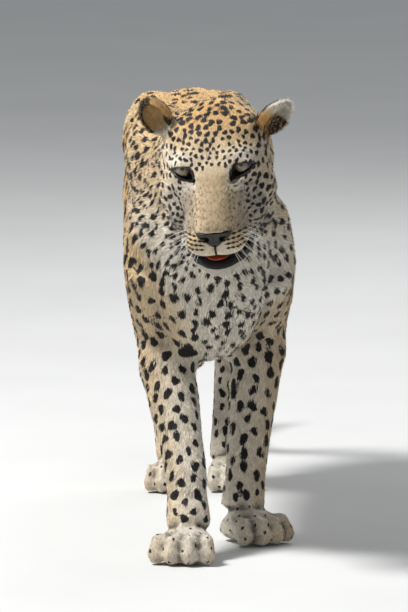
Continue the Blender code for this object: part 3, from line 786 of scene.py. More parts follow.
class Grid:
    """Points sorted into cells, so that the few near a place are found quickly."""

    def __init__(self, points, cell=0.025):
        self.points = points
        self.cell = cell
        keys = np.floor(points / cell).astype(np.int64)
        self.low = keys.min(axis=0) - 4
        keys -= self.low
        self.span = keys.max(axis=0) + 5
        code = (keys[:, 0] * self.span[1] + keys[:, 1]) * self.span[2] + keys[:, 2]
        self.order = np.argsort(code, kind="stable")
        self.code = code[self.order]

    def near(self, place, reach):
        """Numbers of the points in the cells within reach of a place."""
        base = np.floor(place / self.cell).astype(np.int64) - self.low
        cells = int(math.ceil(reach / self.cell))
        found = []
        for dx in range(-cells, cells + 1):
            for dy in range(-cells, cells + 1):
                start = ((base[0] + dx) * self.span[1] + base[1] + dy) * self.span[2] + base[2]
                a, b = np.searchsorted(self.code, (start - cells, start + cells + 1))
                if b > a:
                    found.append(self.order[a:b])
        return np.concatenate(found) if found else np.empty(0, dtype=np.int64)


class LeopardCoatSettings(bpy.types.PropertyGroup):
    skin_grain: FloatProperty(
        name="Skin grain",
        description="Size of the grid that the skin is melted on",
        default=0.0021,
        unit="LENGTH",
    )
    skin_faces: IntProperty(name="Skin triangles", description="Triangles left in the skin", default=185000)
    tuft_length: FloatProperty(name="Tuft length", description="Factor on the length of tufts", default=1.0)
    tuft_width: FloatProperty(name="Tuft width", description="Factor on the width of all tufts", default=1.0)
    tuft_share: FloatProperty(name="Tuft share", description="Factor on the number of tufts", default=1.0)
    seed: IntProperty(name="Seed", description="Number that settles every random choice", default=7)


def colour_setting(name, description, *colour):
    """A colour that a user may change, given as it looks on a screen."""
    return FloatVectorProperty(
        name=name, description=description, subtype="COLOR", default=linear(*colour)
    )


class LeopardColourSettings(bpy.types.PropertyGroup):
    white: colour_setting("White", "Fur of belly, chin and brows", 0.92, 0.89, 0.83)
    gold: colour_setting("Gold", "Fur of flanks and cheeks", 0.86, 0.75, 0.58)
    deep_gold: colour_setting("Deep gold", "Fur of back and crown", 0.86, 0.68, 0.42)
    black: colour_setting("Black", "Fur of spots and rosettes", 0.11, 0.085, 0.075)
    # This grey also serves as the painted shade in the hollows of the skin, most of all between the toes
    grey: colour_setting("Grey", "Fur of chin and muzzle", 0.37, 0.325, 0.285)
    iris: colour_setting("Iris", "Coloured ring of the eye", 0.47, 0.42, 0.32)
    leather: colour_setting("Leather", "Bare skin of nose and lids", 0.115, 0.085, 0.07)
    tongue: colour_setting("Tongue", "Flesh of the tongue", 0.68, 0.26, 0.08)


def coat_shader(name, colours, group, is_skin):
    """The material of the skin or of the tufts."""
    made, tree, shader = new_material(name)
    colour = add_node(tree, "ShaderNodeGroup", node_tree=group)
    for socket, field in (("Warm", "warm"), ("Spot", "spot"), ("Inside", "inside"), ("Grey", "grey")):
        tree.links.new(attribute(tree, field), colour.inputs[socket])
    if is_skin:
        tree.links.new(noise(tree, 260, 4, (1, 0.35, 0.6)), colour.inputs["Tint"])
    else:
        tree.links.new(attribute(tree, "tint"), colour.inputs["Tint"])
    for socket in ("White", "Gold", "Deep gold", "Black"):
        value = getattr(colours, socket.lower().replace(" ", "_"))
        colour.inputs[socket].default_value = (*value, 1)
    out = colour.outputs["Color"]
    if is_skin:
        deep = ramped(tree, attribute(tree, "spot"), -7.0, -2.0, 0.72, 0.22)
        out = mixed(tree, deep, out, (0.0, 0.0, 0.0))
        bumped(tree, shader, noise(tree, 420, 4, (1, 0.25, 0.5)), 0.0012, 0.8)
    else:
        root = ramped(tree, attribute(tree, "tip"), 0.0, 0.7, 0.42, 0.0)
        out = mixed(tree, root, out, (0.03, 0.024, 0.02))
    tree.links.new(out, shader.inputs["Base Color"])
    shader.inputs["Roughness"].default_value = 0.62
    shader.inputs["Specular IOR Level"].default_value = 0.28
    shader.inputs["Sheen Weight"].default_value = 0.12
    shader.inputs["Sheen Roughness"].default_value = 0.4
    return made


def leather_shader(name, colour, roughness, bump, scale, coat=0.0):
    """Bare skin with fine pebbles, a little damp."""
    made, tree, shader = new_material(name)
    cells = add_node(tree, "ShaderNodeTexVoronoi", Scale=scale)
    tree.links.new(add_node(tree, "ShaderNodeTexCoord").outputs["Object"], cells.inputs["Vector"])
    blotch = noise(tree, 90, 3)
    shade = tuple(c * 0.55 for c in colour)
    light = tuple(min(1, c * 1.5) for c in colour)
    out = mixed(tree, ramped(tree, blotch, 0.35, 0.7), shade, light)
    tree.links.new(out, shader.inputs["Base Color"])
    gloss = ramped(tree, blotch, 0.3, 0.7, roughness - 0.1, roughness + 0.12)
    tree.links.new(gloss, shader.inputs["Roughness"])
    bumped(tree, shader, cells.outputs["Distance"], bump, 0.7)
    shader.inputs["Coat Weight"].default_value = coat
    shader.inputs["Coat Roughness"].default_value = 0.2
    return made


class LEOPARD_OT_skin(bpy.types.Operator):
    """Melt the solids of flesh into one skin and set it in by the depth of the coat"""

    bl_idname = "leopard.skin"
    bl_label = "Skin"

    def execute(self, context):
        settings = context.scene.leopard_coat
        colours = context.scene.leopard_colours
        skin = build_skin(settings)
        points = points_of(skin)
        owner = nearest_nodes(points)
        kinds = np.array([node_kind(name) for name in FLESH])[owner]
        edges = edges_of(skin)
        depth = np.array([COAT[kind][0] for kind in kinds]) / 1000
        local = in_head(points)
        near_eye = np.minimum(*[eye_distance(local, side) for side in (LEFT, RIGHT)])
        near_mouth = oval(local, (0, -70, -100), (1.2, 1.0, 0.6))
        near_nose = oval(local, (0, -92, -66), (1.5, 1.0, 1.0))
        face = np.isin(kinds, ("head", "jaw"))
        shallow = np.minimum(smooth_step(18, 40, near_eye), smooth_step(22, 55, near_mouth))
        shallow = np.minimum(shallow, smooth_step(18, 34, near_nose))
        depth = np.where(face, 0.0008 + (depth - 0.0008) * shallow, depth)
        depth = blurred(depth, edges, 14)
        normals = unit(blurred(normals_of(skin), edges, 3))
        set_points(skin, points - normals * depth[:, None])
        group = skin.vertex_groups.new(name="face")
        fine = face & (local[:, 1] < 60)
        group.add([int(k) for k in np.flatnonzero(~fine)], 1.0, "REPLACE")
        thin = skin.modifiers.new("thin", "DECIMATE")
        thin.ratio = settings.skin_faces / (2 * len(skin.data.polygons))
        thin.use_collapse_triangulate = True
        thin.vertex_group = "face"
        thin.vertex_group_factor = 1.0
        applied(skin)
        skin.vertex_groups.clear()
        skin.data.shade_smooth()
        carve_face(skin)
        open_lids(skin)
        points = points_of(skin)
        edges = edges_of(skin)
        normals = normals_of(skin)
        owner = nearest_nodes(points)
        kinds = np.array([node_kind(name) for name in FLESH])[owner]
        soft = unit(blurred(normals, edges, 4))
        lie = lie_of(points, kinds, owner)
        lie = blurred(lie, edges, 25)
        lie = unit(lie - soft * np.sum(lie * soft, axis=1, keepdims=True))
        warm, grey = warmth_of(points, soft, kinds)
        warm = blurred(warm, edges, 24)
        grey = blurred(grey, edges, 6)
        # Painted shade: the hollows of the skin are painted greyer, the same from all sides, most of all
        # between the toes
        hollow = np.sum((blurred(points, edges, 7) - points) * soft, axis=1) * 1000
        painted_hollow_shade = smooth_step(0.08, 0.55, hollow) * np.where(kinds == "paw", 0.95, 0.35)
        grey = np.maximum(grey, blurred(painted_hollow_shade, edges, 1))
        marks = Markings(points, soft, kinds, lie, settings.seed)
        sizes = np.array([COAT[kind] for kind in kinds], dtype=float)
        sizes = blurred(sizes, edges, 12)
        SKIN.update(
            points=points,
            triangles=triangles_of(skin),
            normals=soft,
            lie=lie,
            owner=owner,
            warm=warm,
            grey=grey,
            marks=marks,
            sizes=sizes,
        )
        spot, inside, warm = spots_at(points, owner, warm)
        face = kinds == "head"
        grey = np.maximum(grey, flecks(points, face, speckle(points, face)))
        for name, values in (("warm", warm), ("grey", grey), ("spot", spot), ("inside", inside)):
            add_attribute(skin, name, values)
        SKIN["group"] = coat_colour_group(tuple(colours.grey))
        skin.data.materials.clear()
        skin.data.materials.append(coat_shader("Skin", colours, SKIN["group"], True))
        keep(skin, "skin", FLESH)
        return {"FINISHED"}


def carve_face(skin):
    """Sets the hollows and furrows of the face in."""
    points = points_of(skin)
    normals = normals_of(skin)
    local = in_head(points)
    high = seen_height(local)
    deep = np.zeros(len(points))
    for side in (LEFT, RIGHT):
        seen = np.stack([local[:, 0] * side, high], axis=1)
        for out, up, across, tall, depth in HOLLOWS:
            deep += depth * np.exp(-(((seen[:, 0] - out) / across) ** 2) - ((high - up) / tall) ** 2)
        for line, half, depth in FURROWS:
            gap, _ = line_distance(seen, line)
            share = 0.5 if line[0][0] == 0 else 1.0
            deep += depth * share * np.exp(-((gap / half) ** 2))
    owner = nearest_nodes(points)
    front = smooth_step(45, 15, local[:, 1]) * (owner == FLESH.index("head"))
    front *= smooth_step(16, 22, np.minimum(*[eye_distance(local, side) for side in (LEFT, RIGHT)]))
    deep = blurred(deep * front, edges_of(skin), 2)
    set_points(skin, points - normals * deep[:, None] / 1000)


def open_lids(skin):
    """Pushes the skin between the lids in behind the eyeballs."""
    points = points_of(skin)
    for side in (LEFT, RIGHT):
        centre = np.array(eye_centre(side))
        gap = inside_lids(points, side)
        away = points - centre
        reach = np.linalg.norm(away, axis=1)
        goal = np.minimum(reach, EYE_RADIUS - 0.0030)
        share = smooth_step(0.9, -0.9, gap) * smooth_step(30, 26, reach * 1000)
        points += away / reach[:, None] * ((goal - reach) * share)[:, None]
    set_points(skin, points)


def speckle(points, face):
    """Grain of the face at the scale of a few millimetres, about -0.7 to 0.7, and 0 elsewhere."""
    local = in_head(points)
    value = np.zeros(len(points))
    for k in np.flatnonzero((face > 0) & (local[:, 1] < 30)):
        x, y, z = local[k]
        value[k] = fractal(Vector((x / 3.4, y / 4.2, z / 4.2)), 0.8, 2.2, 2)
    return value


def flecks(points, face, grain):
    """Salt and pepper on the bridge of the nose and the sides of the muzzle, from 0 to 1."""
    local = in_head(points)
    side, high = np.abs(local[:, 0]), seen_height(local)
    zone = smooth_step(2, -22, high) * smooth_step(68, 54, side) * (0.62 + 0.38 * smooth_step(4, 36, side))
    return face * zone * smooth_step(-96, -86, high) * smooth_step(0.05, 0.42, grain)


def spots_at(points, owner, warm):
    """Markings at any points of the skin."""
    spot, inside = SKIN["marks"].measure(points)
    spot = np.minimum(spot, face_marks(points))
    ear_spot, ear_warm = ear_marks(points, owner)
    spot = np.minimum(spot, ear_spot)
    warm = np.where(ear_warm >= 0, ear_warm, warm)
    run, _ = tail_run(points)
    tail = np.isin(owner, [k for k, name in enumerate(FLESH) if name.startswith("tail")])
    rings = np.abs(((run * 1000 + 6) % 46) - 23) - 11
    spot = np.where(tail & (run > 0.62), np.minimum(spot, -rings), spot)
    return spot, inside * (spot > 0), warm


class LEOPARD_OT_coat(bpy.types.Operator):
    """Stand tufts of short fur on the skin, in pieces for the parts of the body"""

    bl_idname = "leopard.coat"
    bl_label = "Coat"

    def execute(self, context):
        settings = context.scene.leopard_coat
        colours = context.scene.leopard_colours
        random = np.random.default_rng(settings.seed + 1)
        made = coat_shader("Coat", colours, SKIN["group"], False)
        parts = {
            "coat_head": ("head", "jaw", "ear_left", "ear_right"),
            "coat_neck": ("neck",),
            "coat_torso": ("torso",),
            "coat_tail": [n for n in FLESH if n.startswith("tail")],
            "coat_front_legs": [n for n in FLESH if n.startswith("leg_front")],
            "coat_rear_legs": [n for n in FLESH if n.startswith("leg_rear")],
        }
        share = settings.tuft_share * 1.0
        for name, nodes in parts.items():
            grow_coat(name, [FLESH.index(node) for node in nodes], settings, share, random, made)
        return {"FINISHED"}


def skin_map(points, numbers):
    """An unwrap of one part of the skin about its own axis, as u and v between 0 and 1."""
    names = {FLESH[k] for k in numbers}
    if "head" in names:
        local = in_head(points) - (0, 20, -30)
        u = np.arctan2(local[:, 0], local[:, 2]) / (2 * math.pi) + 0.5
        v = (local[:, 1] + 160) / 360
        return np.stack([u, np.clip(v, 0.002, 0.998)], axis=1)
    if "tail_base" in names:
        run, way = tail_run(points)
        centre_y = np.interp(run, TAIL_RUNS, TAIL_POINTS[:, 1])
        centre_z = np.interp(run, TAIL_RUNS, TAIL_POINTS[:, 2])
        across = (points[:, 1] - centre_y) * -way[:, 2] + (points[:, 2] - centre_z) * way[:, 1]
        u = np.arctan2(points[:, 0] - SHIFT.x, across) / (2 * math.pi) + 0.5
        return np.stack([u, np.clip(run / 0.95, 0.002, 0.998)], axis=1)
    if "neck" in names or "torso" in names:
        u = np.arctan2(points[:, 0] - SHIFT.x, points[:, 2] - 0.48) / (2 * math.pi) + 0.5
        low, high = points[:, 1].min(), points[:, 1].max()
        return np.stack([u, (points[:, 1] - low) / (high - low) * 0.99 + 0.005], axis=1)
    left = points[:, 0] > SHIFT.x + 0.004
    out = np.zeros((len(points), 2))
    for side, mine in ((0, left), (1, ~left)):
        p = points[mine]
        z = p[:, 2]
        levels = np.linspace(0, 0.6, 25)
        bins = np.clip(np.digitize(z, levels) - 1, 0, 23)
        middles = (levels[1:] + levels[:-1]) / 2
        away = []
        for axis in (0, 1):
            mean = [p[bins == k, axis].mean() if (bins == k).any() else 0.0 for k in range(24)]
            away.append(p[:, axis] - np.interp(z, middles, np.array(mean)))
        u = np.arctan2(*away) / (2 * math.pi) + 0.5
        out[mine] = np.stack([u * 0.48 + 0.005 + 0.5 * side, np.clip(z / 0.62, 0.002, 0.998)], axis=1)
    return out


def bare(points):
    """Which places of the skin carry no fur: mouth, lips, eyes, nose leather and soles."""
    local = in_head(points)
    side = np.abs(local[:, 0])
    hidden = oval(local, (0, -44, -103), (50, 50, 7.5)) < 1
    for eye in (LEFT, RIGHT):
        hidden |= eye_distance(local, eye) < EYE_RADIUS * 1000 + 0.8
        hidden |= inside_lids(points, eye) < 0.6
    hidden |= (side < 24) & (local[:, 1] < -84) & (local[:, 2] < -57) & (local[:, 2] > -77)
    hidden |= (np.abs(local[:, 2] + 113) < 7.5 - 0.06 * side) & (local[:, 1] < -18)
    return hidden | (points[:, 2] < 0.005)


def tuft_lengths(root, owner, plain):
    """Lengths of the tufts: short on the face, longer on ruff, belly and the edges of the ears."""
    local = in_head(root)
    side = np.abs(local[:, 0])
    face = np.isin(owner, [FLESH.index("head"), FLESH.index("jaw")])
    forward = np.where(face, smooth_step(30, -60, local[:, 1]), 0)
    ruff = np.where(face, smooth_step(45, 75, side) * smooth_step(20, -60, local[:, 2]), 0)
    below_ear = np.exp(-(((side - 80) / 14) ** 2) - ((seen_height(local) - 45) / 20) ** 2)
    ruff = np.maximum(ruff, np.where(face, 1.4 * below_ear, 0))
    length = plain / 1000 * (1 - 0.55 * forward) * (1 + 0.5 * ruff)
    belly = smooth_step(0.36, 0.30, root[:, 2]) * (owner == FLESH.index("torso"))
    length *= 1 + 0.9 * belly
    for ear, growth in (("ear_right", 0.6), ("ear_left", 1.3)):
        high, _, wide = ear_place(root, ear)
        edge = smooth_step(0.72, 1.0, ear_ring(high, wide))
        length *= np.where(owner == FLESH.index(ear), 1 + growth * edge, 1)
    return length, face, forward


def grow_coat(name, numbers, settings, share, random, material):
    """All tufts of one part of the body, in as many pieces as the limit on triangles asks."""
    points, triangles = SKIN["points"], SKIN["triangles"]
    tris = triangles[np.isin(SKIN["owner"][triangles[:, 0]], numbers)]
    a, b, c = points[tris[:, 0]], points[tris[:, 1]], points[tris[:, 2]]
    area = np.linalg.norm(np.cross(b - a, c - a), axis=1) / 2
    density = SKIN["sizes"][tris[:, 0], 4] * 1e4 * share
    weight = area * density * ~bare(a)
    count = int(weight.sum())
    pick = random.choice(len(tris), count, p=weight / weight.sum())
    r1, r2 = random.random(count), random.random(count)
    flip = r1 + r2 > 1
    r1[flip], r2[flip] = 1 - r1[flip], 1 - r2[flip]
    bary = np.stack([1 - r1 - r2, r1, r2], axis=1)
    corners = tris[pick]

    def at(field):
        values = field[corners]
        if values.ndim == 2:
            return np.sum(values * bary, axis=1)
        return np.einsum("ijk,ij->ik", values, bary)

    root = at(points)
    normal = unit(at(SKIN["normals"]))
    lie = at(SKIN["lie"])
    lie = unit(lie - normal * np.sum(lie * normal, axis=1, keepdims=True))
    sizes = at(SKIN["sizes"])
    warm, grey = at(SKIN["warm"]), at(SKIN["grey"])
    owner = SKIN["owner"][corners[:, 0]]
    length, face, forward = tuft_lengths(root, owner, sizes[:, 1])
    length *= settings.tuft_length * random.uniform(0.7, 1.25, count)
    width = sizes[:, 2] / 1000 * (1 - 0.35 * forward) * settings.tuft_width
    width *= random.uniform(0.75, 1.25, count) / math.sqrt(max(share, 0.05)) ** 0.5
    on_ear = np.isin(owner, [FLESH.index(ear) for ear in EAR_FRAMES])
    lift = np.radians(sizes[:, 3]) * random.uniform(0.5, 1.5, count) + np.where(on_ear, 0.15, 0)
    # The coat waves a little over hand-wide places, and each tuft strays from its neighbours
    yaw = 0.22 * np.sin(root @ (61.0, 37.0, 53.0)) + 0.16 * np.sin(root @ (-143.0, 97.0, 121.0))
    yaw += random.normal(0, 0.14, count)
    way = lie * np.cos(yaw)[:, None] + np.cross(normal, lie) * np.sin(yaw)[:, None]
    twist = random.normal(0, 0.5, count)
    blade = np.cross(normal, way)
    blade = blade * np.cos(twist)[:, None] + normal * np.sin(twist)[:, None]
    start = root - normal * ROOT_DEPTH
    mid = start + length[:, None] * 0.5 * (way * np.cos(lift)[:, None] + normal * np.sin(lift)[:, None])
    low = lift * 0.25
    tip = mid + length[:, None] * 0.5 * (way * np.cos(low)[:, None] + normal * np.sin(low)[:, None])
    half = (blade * width[:, None]) / 2
    for place in (mid, tip):
        place[:, 2] = np.maximum(place[:, 2], 0.0004 + half[:, 2].clip(0))
    spot, inside, warm = spots_at(mid - normal * 0.001, owner, warm)
    outer = (1 - SPOT_READ) * mid + SPOT_READ * tip - normal * 0.0015
    spot_tip = spots_at(outer, owner, warm)[0]
    ragged = random.normal(0, 0.8, count) * np.where(face, 0.55, 1.0)
    spot, spot_tip = spot + ragged, spot_tip + ragged
    grain = speckle(mid, face)
    grey = np.maximum(grey, flecks(mid, face, grain) * random.uniform(0.5, 1.0, count))
    tint = random.normal(0.5, 0.24, count) + 0.12 * np.sin(root @ (210.0, 160.0, 190.0)) - 0.8 * grain
    verts = np.stack([start - half, start + half, mid - half * 0.8, mid + half * 0.8, tip], axis=1)
    uv_root = skin_map(root, numbers)
    fields = {
        "warm": warm,
        "grey": grey,
        "spot": np.stack([spot, spot, spot, spot, spot_tip], axis=1),
        "inside": inside,
        "tint": np.clip(tint, 0, 1),
    }
    pieces = max(1, math.ceil(count * TUFT_TRIANGLES / PIECE_TRIANGLES))
    order = np.argsort(root[:, 1], kind="stable")
    for k, chunk in enumerate(np.array_split(order, pieces)):
        label = f"{name}_{k + 1}" if pieces > 1 else name
        mine = {key: value[chunk] for key, value in fields.items()}
        piece = tuft_mesh(label, verts[chunk], uv_root[chunk], mine)
        piece.data.materials.append(material)
        keep(piece, label, [])


def tuft_mesh(name, verts, uv_root, fields):
    """A mesh of tufts, each a blade of five vertices and two faces, with its map and attributes."""
    count = len(verts)
    mesh = bpy.data.meshes.new(name)
    mesh.vertices.add(count * 5)
    mesh.vertices.foreach_set("co", verts.reshape(-1).astype(np.float32))
    base = np.arange(count)[:, None] * 5
    loops = (base + np.array([[0, 1, 3, 2, 2, 3, 4]])).ravel()
    mesh.loops.add(count * 7)
    mesh.loops.foreach_set("vertex_index", loops.astype(np.int32))
    mesh.polygons.add(count * 2)
    starts = (np.arange(count)[:, None] * 7 + np.array([[0, 4]])).ravel()
    mesh.polygons.foreach_set("loop_start", starts.astype(np.int32))
    mesh.update(calc_edges=True)
    mesh.validate()
    corners = ((0, 0), (2, 0), (2, 1), (0, 1), (0, 1), (2, 1), (1, 2))
    patch = np.array(corners) * UV_PATCH / 2
    uv = mesh.uv_layers.new(name="OFBake")
    values = np.clip(uv_root[:, None, :] + patch[None] - UV_PATCH / 2, 0.0005, 0.9995)
    uv.data.foreach_set("uv", values.reshape(-1).astype(np.float32))
    obj = bpy.data.objects.new(name, mesh)
    bpy.context.scene.collection.objects.link(obj)
    for key, value in fields.items():
        add_attribute(obj, key, value.ravel() if value.ndim == 2 else np.repeat(value, 5))
    add_attribute(obj, "tip", np.tile([0.0, 0.0, 0.55, 0.55, 1.0], count))
    mesh.shade_smooth()
    return obj


def tube_along(name, points, radii, sides=8):
    """A closed tube with rounded ends along a path, made from a bevelled curve."""
    curve = bpy.data.curves.new(name, "CURVE")
    curve.dimensions = "3D"
    curve.bevel_depth = 1.0
    curve.bevel_resolution = max(0, sides // 4 - 1)
    curve.use_fill_caps = True
    spline = curve.splines.new("POLY")
    spline.points.add(len(points) - 1)
    for slot, point, radius in zip(spline.points, points, radii):
        slot.co = (*point, 1)
        slot.radius = radius
    obj = bpy.data.objects.new(name, curve)
    bpy.context.scene.collection.objects.link(obj)
    alone(obj)
    bpy.ops.object.convert(target="MESH")
    return bpy.context.view_layer.objects.active


def fused(name, objects):
    alone(objects[0])
    for obj in objects:
        obj.select_set(True)
    bpy.ops.object.join()
    made = bpy.context.view_layer.objects.active
    made.name = name
    return made


def eye_centre(side):
    return head_point(side * EYE_SPREAD * 1000, EYE_DEPTH, EYE_HEIGHT)


class LEOPARD_OT_eyes(bpy.types.Operator):
    """Make the two eyes and the dark rims of their lids"""

    bl_idname = "leopard.eyes"
    bl_label = "Eyes"

    def execute(self, context):
        colours = context.scene.leopard_colours
        look = GAZE.normalized()
        for side, word in ((LEFT, "left"), (RIGHT, "right")):
            centre = eye_centre(side)
            bpy.ops.object.select_all(action="DESELECT")
            bpy.ops.mesh.primitive_uv_sphere_add(
                segments=64, ring_count=40, radius=EYE_RADIUS - 0.0004, location=centre
            )
            ball = bpy.context.view_layer.objects.active
            bpy.ops.object.transform_apply(location=True, rotation=True, scale=True)
            away = unit(points_of(ball) - np.array(centre))
            angle = np.degrees(np.arccos(np.clip(away @ np.array(look), -1, 1)))
            bulge = 0.0014 * smooth_step(42, 12, angle)
            set_points(ball, points_of(ball) + away * bulge[:, None])
            ball.data.shade_smooth()
            ball.data.materials.append(eye_shader(f"Eye {word}", centre, look, colours))
            keep(ball, f"eyeball_{word}", [f"eye_{word}"])
            keep(lid_rim(side, colours), f"lid_rim_{word}", [])
        return {"FINISHED"}


def eye_shader(name, centre, look, colours):
    """Pupil, fibres of the iris, dark ring and the brown of the ball, by the angle from the gaze, with a
    painted shadow of the brow over the top of the ball.
    """
    made, tree, shader = new_material(name)
    place = add_node(tree, "ShaderNodeTexCoord").outputs["Object"]
    away = add_node(tree, "ShaderNodeVectorMath", operation="SUBTRACT")
    tree.links.new(place, away.inputs[0])
    away.inputs[1].default_value = centre
    straight = add_node(tree, "ShaderNodeVectorMath", operation="NORMALIZE")
    tree.links.new(away.outputs[0], straight.inputs[0])
    side = Vector((0, 0, 1)).cross(look).normalized()
    up = look.cross(side)
    parts = []
    for axis in (side, up):
        dot = add_node(tree, "ShaderNodeVectorMath", operation="DOT_PRODUCT")
        tree.links.new(straight.outputs[0], dot.inputs[0])
        dot.inputs[1].default_value = axis
        parts.append(dot.outputs["Value"])
    flat = add_node(tree, "ShaderNodeCombineXYZ")
    tree.links.new(parts[0], flat.inputs[0])
    tree.links.new(parts[1], flat.inputs[1])
    radius = add_node(tree, "ShaderNodeVectorMath", operation="LENGTH")
    tree.links.new(flat.outputs[0], radius.inputs[0])
    distance = radius.outputs["Value"]
    angle = add_node(tree, "ShaderNodeMath", operation="ARCTAN2")
    tree.links.new(parts[1], angle.inputs[0])
    tree.links.new(parts[0], angle.inputs[1])
    polar = add_node(tree, "ShaderNodeCombineXYZ")
    tree.links.new(angle.outputs[0], polar.inputs[0])
    tree.links.new(distance, polar.inputs[1])
    fibres = add_node(tree, "ShaderNodeTexNoise", Scale=9.0, Detail=4.0)
    stretch = add_node(tree, "ShaderNodeMapping")
    stretch.inputs["Scale"].default_value = (3.0, 0.8, 1)
    tree.links.new(polar.outputs[0], stretch.inputs["Vector"])
    tree.links.new(stretch.outputs[0], fibres.inputs["Vector"])
    iris = tuple(colours.iris)
    pale = tuple(min(1, c * 1.3) for c in iris)
    fibre = mixed(tree, ramped(tree, fibres.outputs["Fac"], 0.35, 0.65), tuple(c * 0.62 for c in iris), pale)
    inner = mixed(tree, ramped(tree, distance, 0.16, 0.30), linear(0.38, 0.34, 0.24), fibre)
    ringed = mixed(tree, ramped(tree, distance, 0.56, 0.66), inner, linear(0.09, 0.07, 0.055))
    ball = mixed(tree, ramped(tree, distance, 0.68, 0.80), ringed, linear(0.13, 0.09, 0.07))
    pupil = mixed(tree, ramped(tree, distance, 0.14, 0.175), linear(0.01, 0.01, 0.01), ball)
    # Painted shadow: the top of the ball is darkened where the brow would shade it
    brow = add_node(tree, "ShaderNodeVectorMath", operation="DOT_PRODUCT")
    tree.links.new(straight.outputs[0], brow.inputs[0])
    brow.inputs[1].default_value = (HEAD.to_3x3() @ Vector((0, 0.42, 0.91))).normalized()
    painted_brow_shadow = ramped(tree, brow.outputs["Value"], 0.14, 0.50, 0.0, 0.80)
    shaded = mixed(tree, painted_brow_shadow, pupil, linear(0.07, 0.055, 0.045))
    tree.links.new(shaded, shader.inputs["Base Color"])
    shader.inputs["Roughness"].default_value = 0.12
    shader.inputs["Coat Weight"].default_value = 1.0
    shader.inputs["Coat Roughness"].default_value = 0.03
    return made


def lid_rim(side, colours):
    """The dark bare edge of both lids round one eye, laid on the skin along the opening."""
    ring = np.array(LIDS, dtype=float) * (side, 1)
    ring = np.concatenate([ring + (np.roll(ring, -1, axis=0) - ring) * t for t in (0.0, 0.33, 0.67)], axis=0)
    ring = ring.reshape(3, len(LIDS), 2).transpose(1, 0, 2).reshape(-1, 2)
    for _ in range(3):
        ring = 0.5 * ring + 0.25 * (np.roll(ring, 1, axis=0) + np.roll(ring, -1, axis=0))
    local = in_head(SKIN["points"])
    local = local[eye_distance(local, side) < 34]
    slope = math.radians(VIEW_PITCH)
    forward = np.array([0, -math.cos(slope), math.sin(slope)])
    upward = np.array([0, math.sin(slope), math.cos(slope)])
    near = [np.hypot(local[:, 0] - x, local @ upward - v) < 1.9 for x, v in ring]
    depth = np.array([(local[mine] @ forward).max() if mine.any() else 0.0 for mine in near])
    for _ in range(2):
        depth = 0.5 * depth + 0.25 * (np.roll(depth, 1) + np.roll(depth, -1))
    points = [head_point(x, *((v * upward + d * forward)[1:])) for (x, v), d in zip(ring, depth)]
    radii = [0.0010 + 0.0008 * float(smooth_step(9, -2, v)) for _, v in ring]
    points.append(points[0])
    radii.append(radii[0])
    rim = tube_along("lid rim", points, radii)
    dark = tuple(c * 0.5 for c in colours.leather)
    rim.data.materials.append(leather_shader("Lids", dark, 0.45, 0.0002, 1500, 0.25))
    return rim


def shape_nose(nose):
    """Sinks the nostrils and the groove between them into the leather, and eases its edge inwards."""
    points = points_of(nose)
    local = in_head(points)
    normals = normals_of(nose)
    sunk = np.full(len(points), 0.5)
    for side in (LEFT, RIGHT):
        out = local[:, 0] * side - 13
        hole = np.hypot(out / 6.5, (local[:, 2] + 66 - 0.35 * out) / 2.6)
        sunk += 3.5 * np.exp(-(hole**2)) * (local[:, 1] < -84)
    sunk += 1.1 * np.exp(-((local[:, 0] / 1.1) ** 2)) * (local[:, 1] < -84)
    across = np.array(HEAD.to_3x3() @ Vector((1, 0, 0)))
    points = points + across * (0.07 * local[:, :1] / 1000)
    set_points(nose, points - normals * sunk[:, None] / 1000)


def melted_copy(node, grain, rounds):
    """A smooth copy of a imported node, melted on a grid of that grain."""
    obj = copy_of(node, node)
    melt = obj.modifiers.new("melt", "REMESH")
    melt.mode = "VOXEL"
    melt.voxel_size = grain
    ease = obj.modifiers.new("ease", "SMOOTH")
    ease.iterations = rounds
    return applied(obj)


class LEOPARD_OT_mouth(bpy.types.Operator):
    """Finish the nose leather and the tongue"""

    bl_idname = "leopard.mouth"
    bl_label = "Nose and mouth"

    def execute(self, context):
        colours = context.scene.leopard_colours
        nose = melted_copy("nose", 0.0009, 9)
        shape_nose(nose)
        tongue = melted_copy("tongue", 0.0012, 6)
        # The edges of the tongue are raised to make it a flat leaf
        points = points_of(tongue)
        height = in_head(points)[:, 2:]
        upward = np.array(HEAD.to_3x3() @ Vector((0, 0, 1)))
        set_points(tongue, points + upward * (0.45 * (height.max() - height) / 1000))
        leather = leather_shader("Nose leather", tuple(colours.leather), 0.5, 0.0003, 700, 0.08)
        flesh = leather_shader("Tongue", tuple(colours.tongue), 0.4, 0.0004, 1100, 0.4)
        for obj, name, node, slot, material in (
            (nose, "nose_leather", "nose", "nose_leather", leather),
            (tongue, "tongue_flesh", "tongue", "tongue", flesh),
        ):
            obj.data.shade_smooth()
            obj.data.materials.clear()
            obj.data.materials.append(material)
            keep(obj, name, [node])
        return {"FINISHED"}


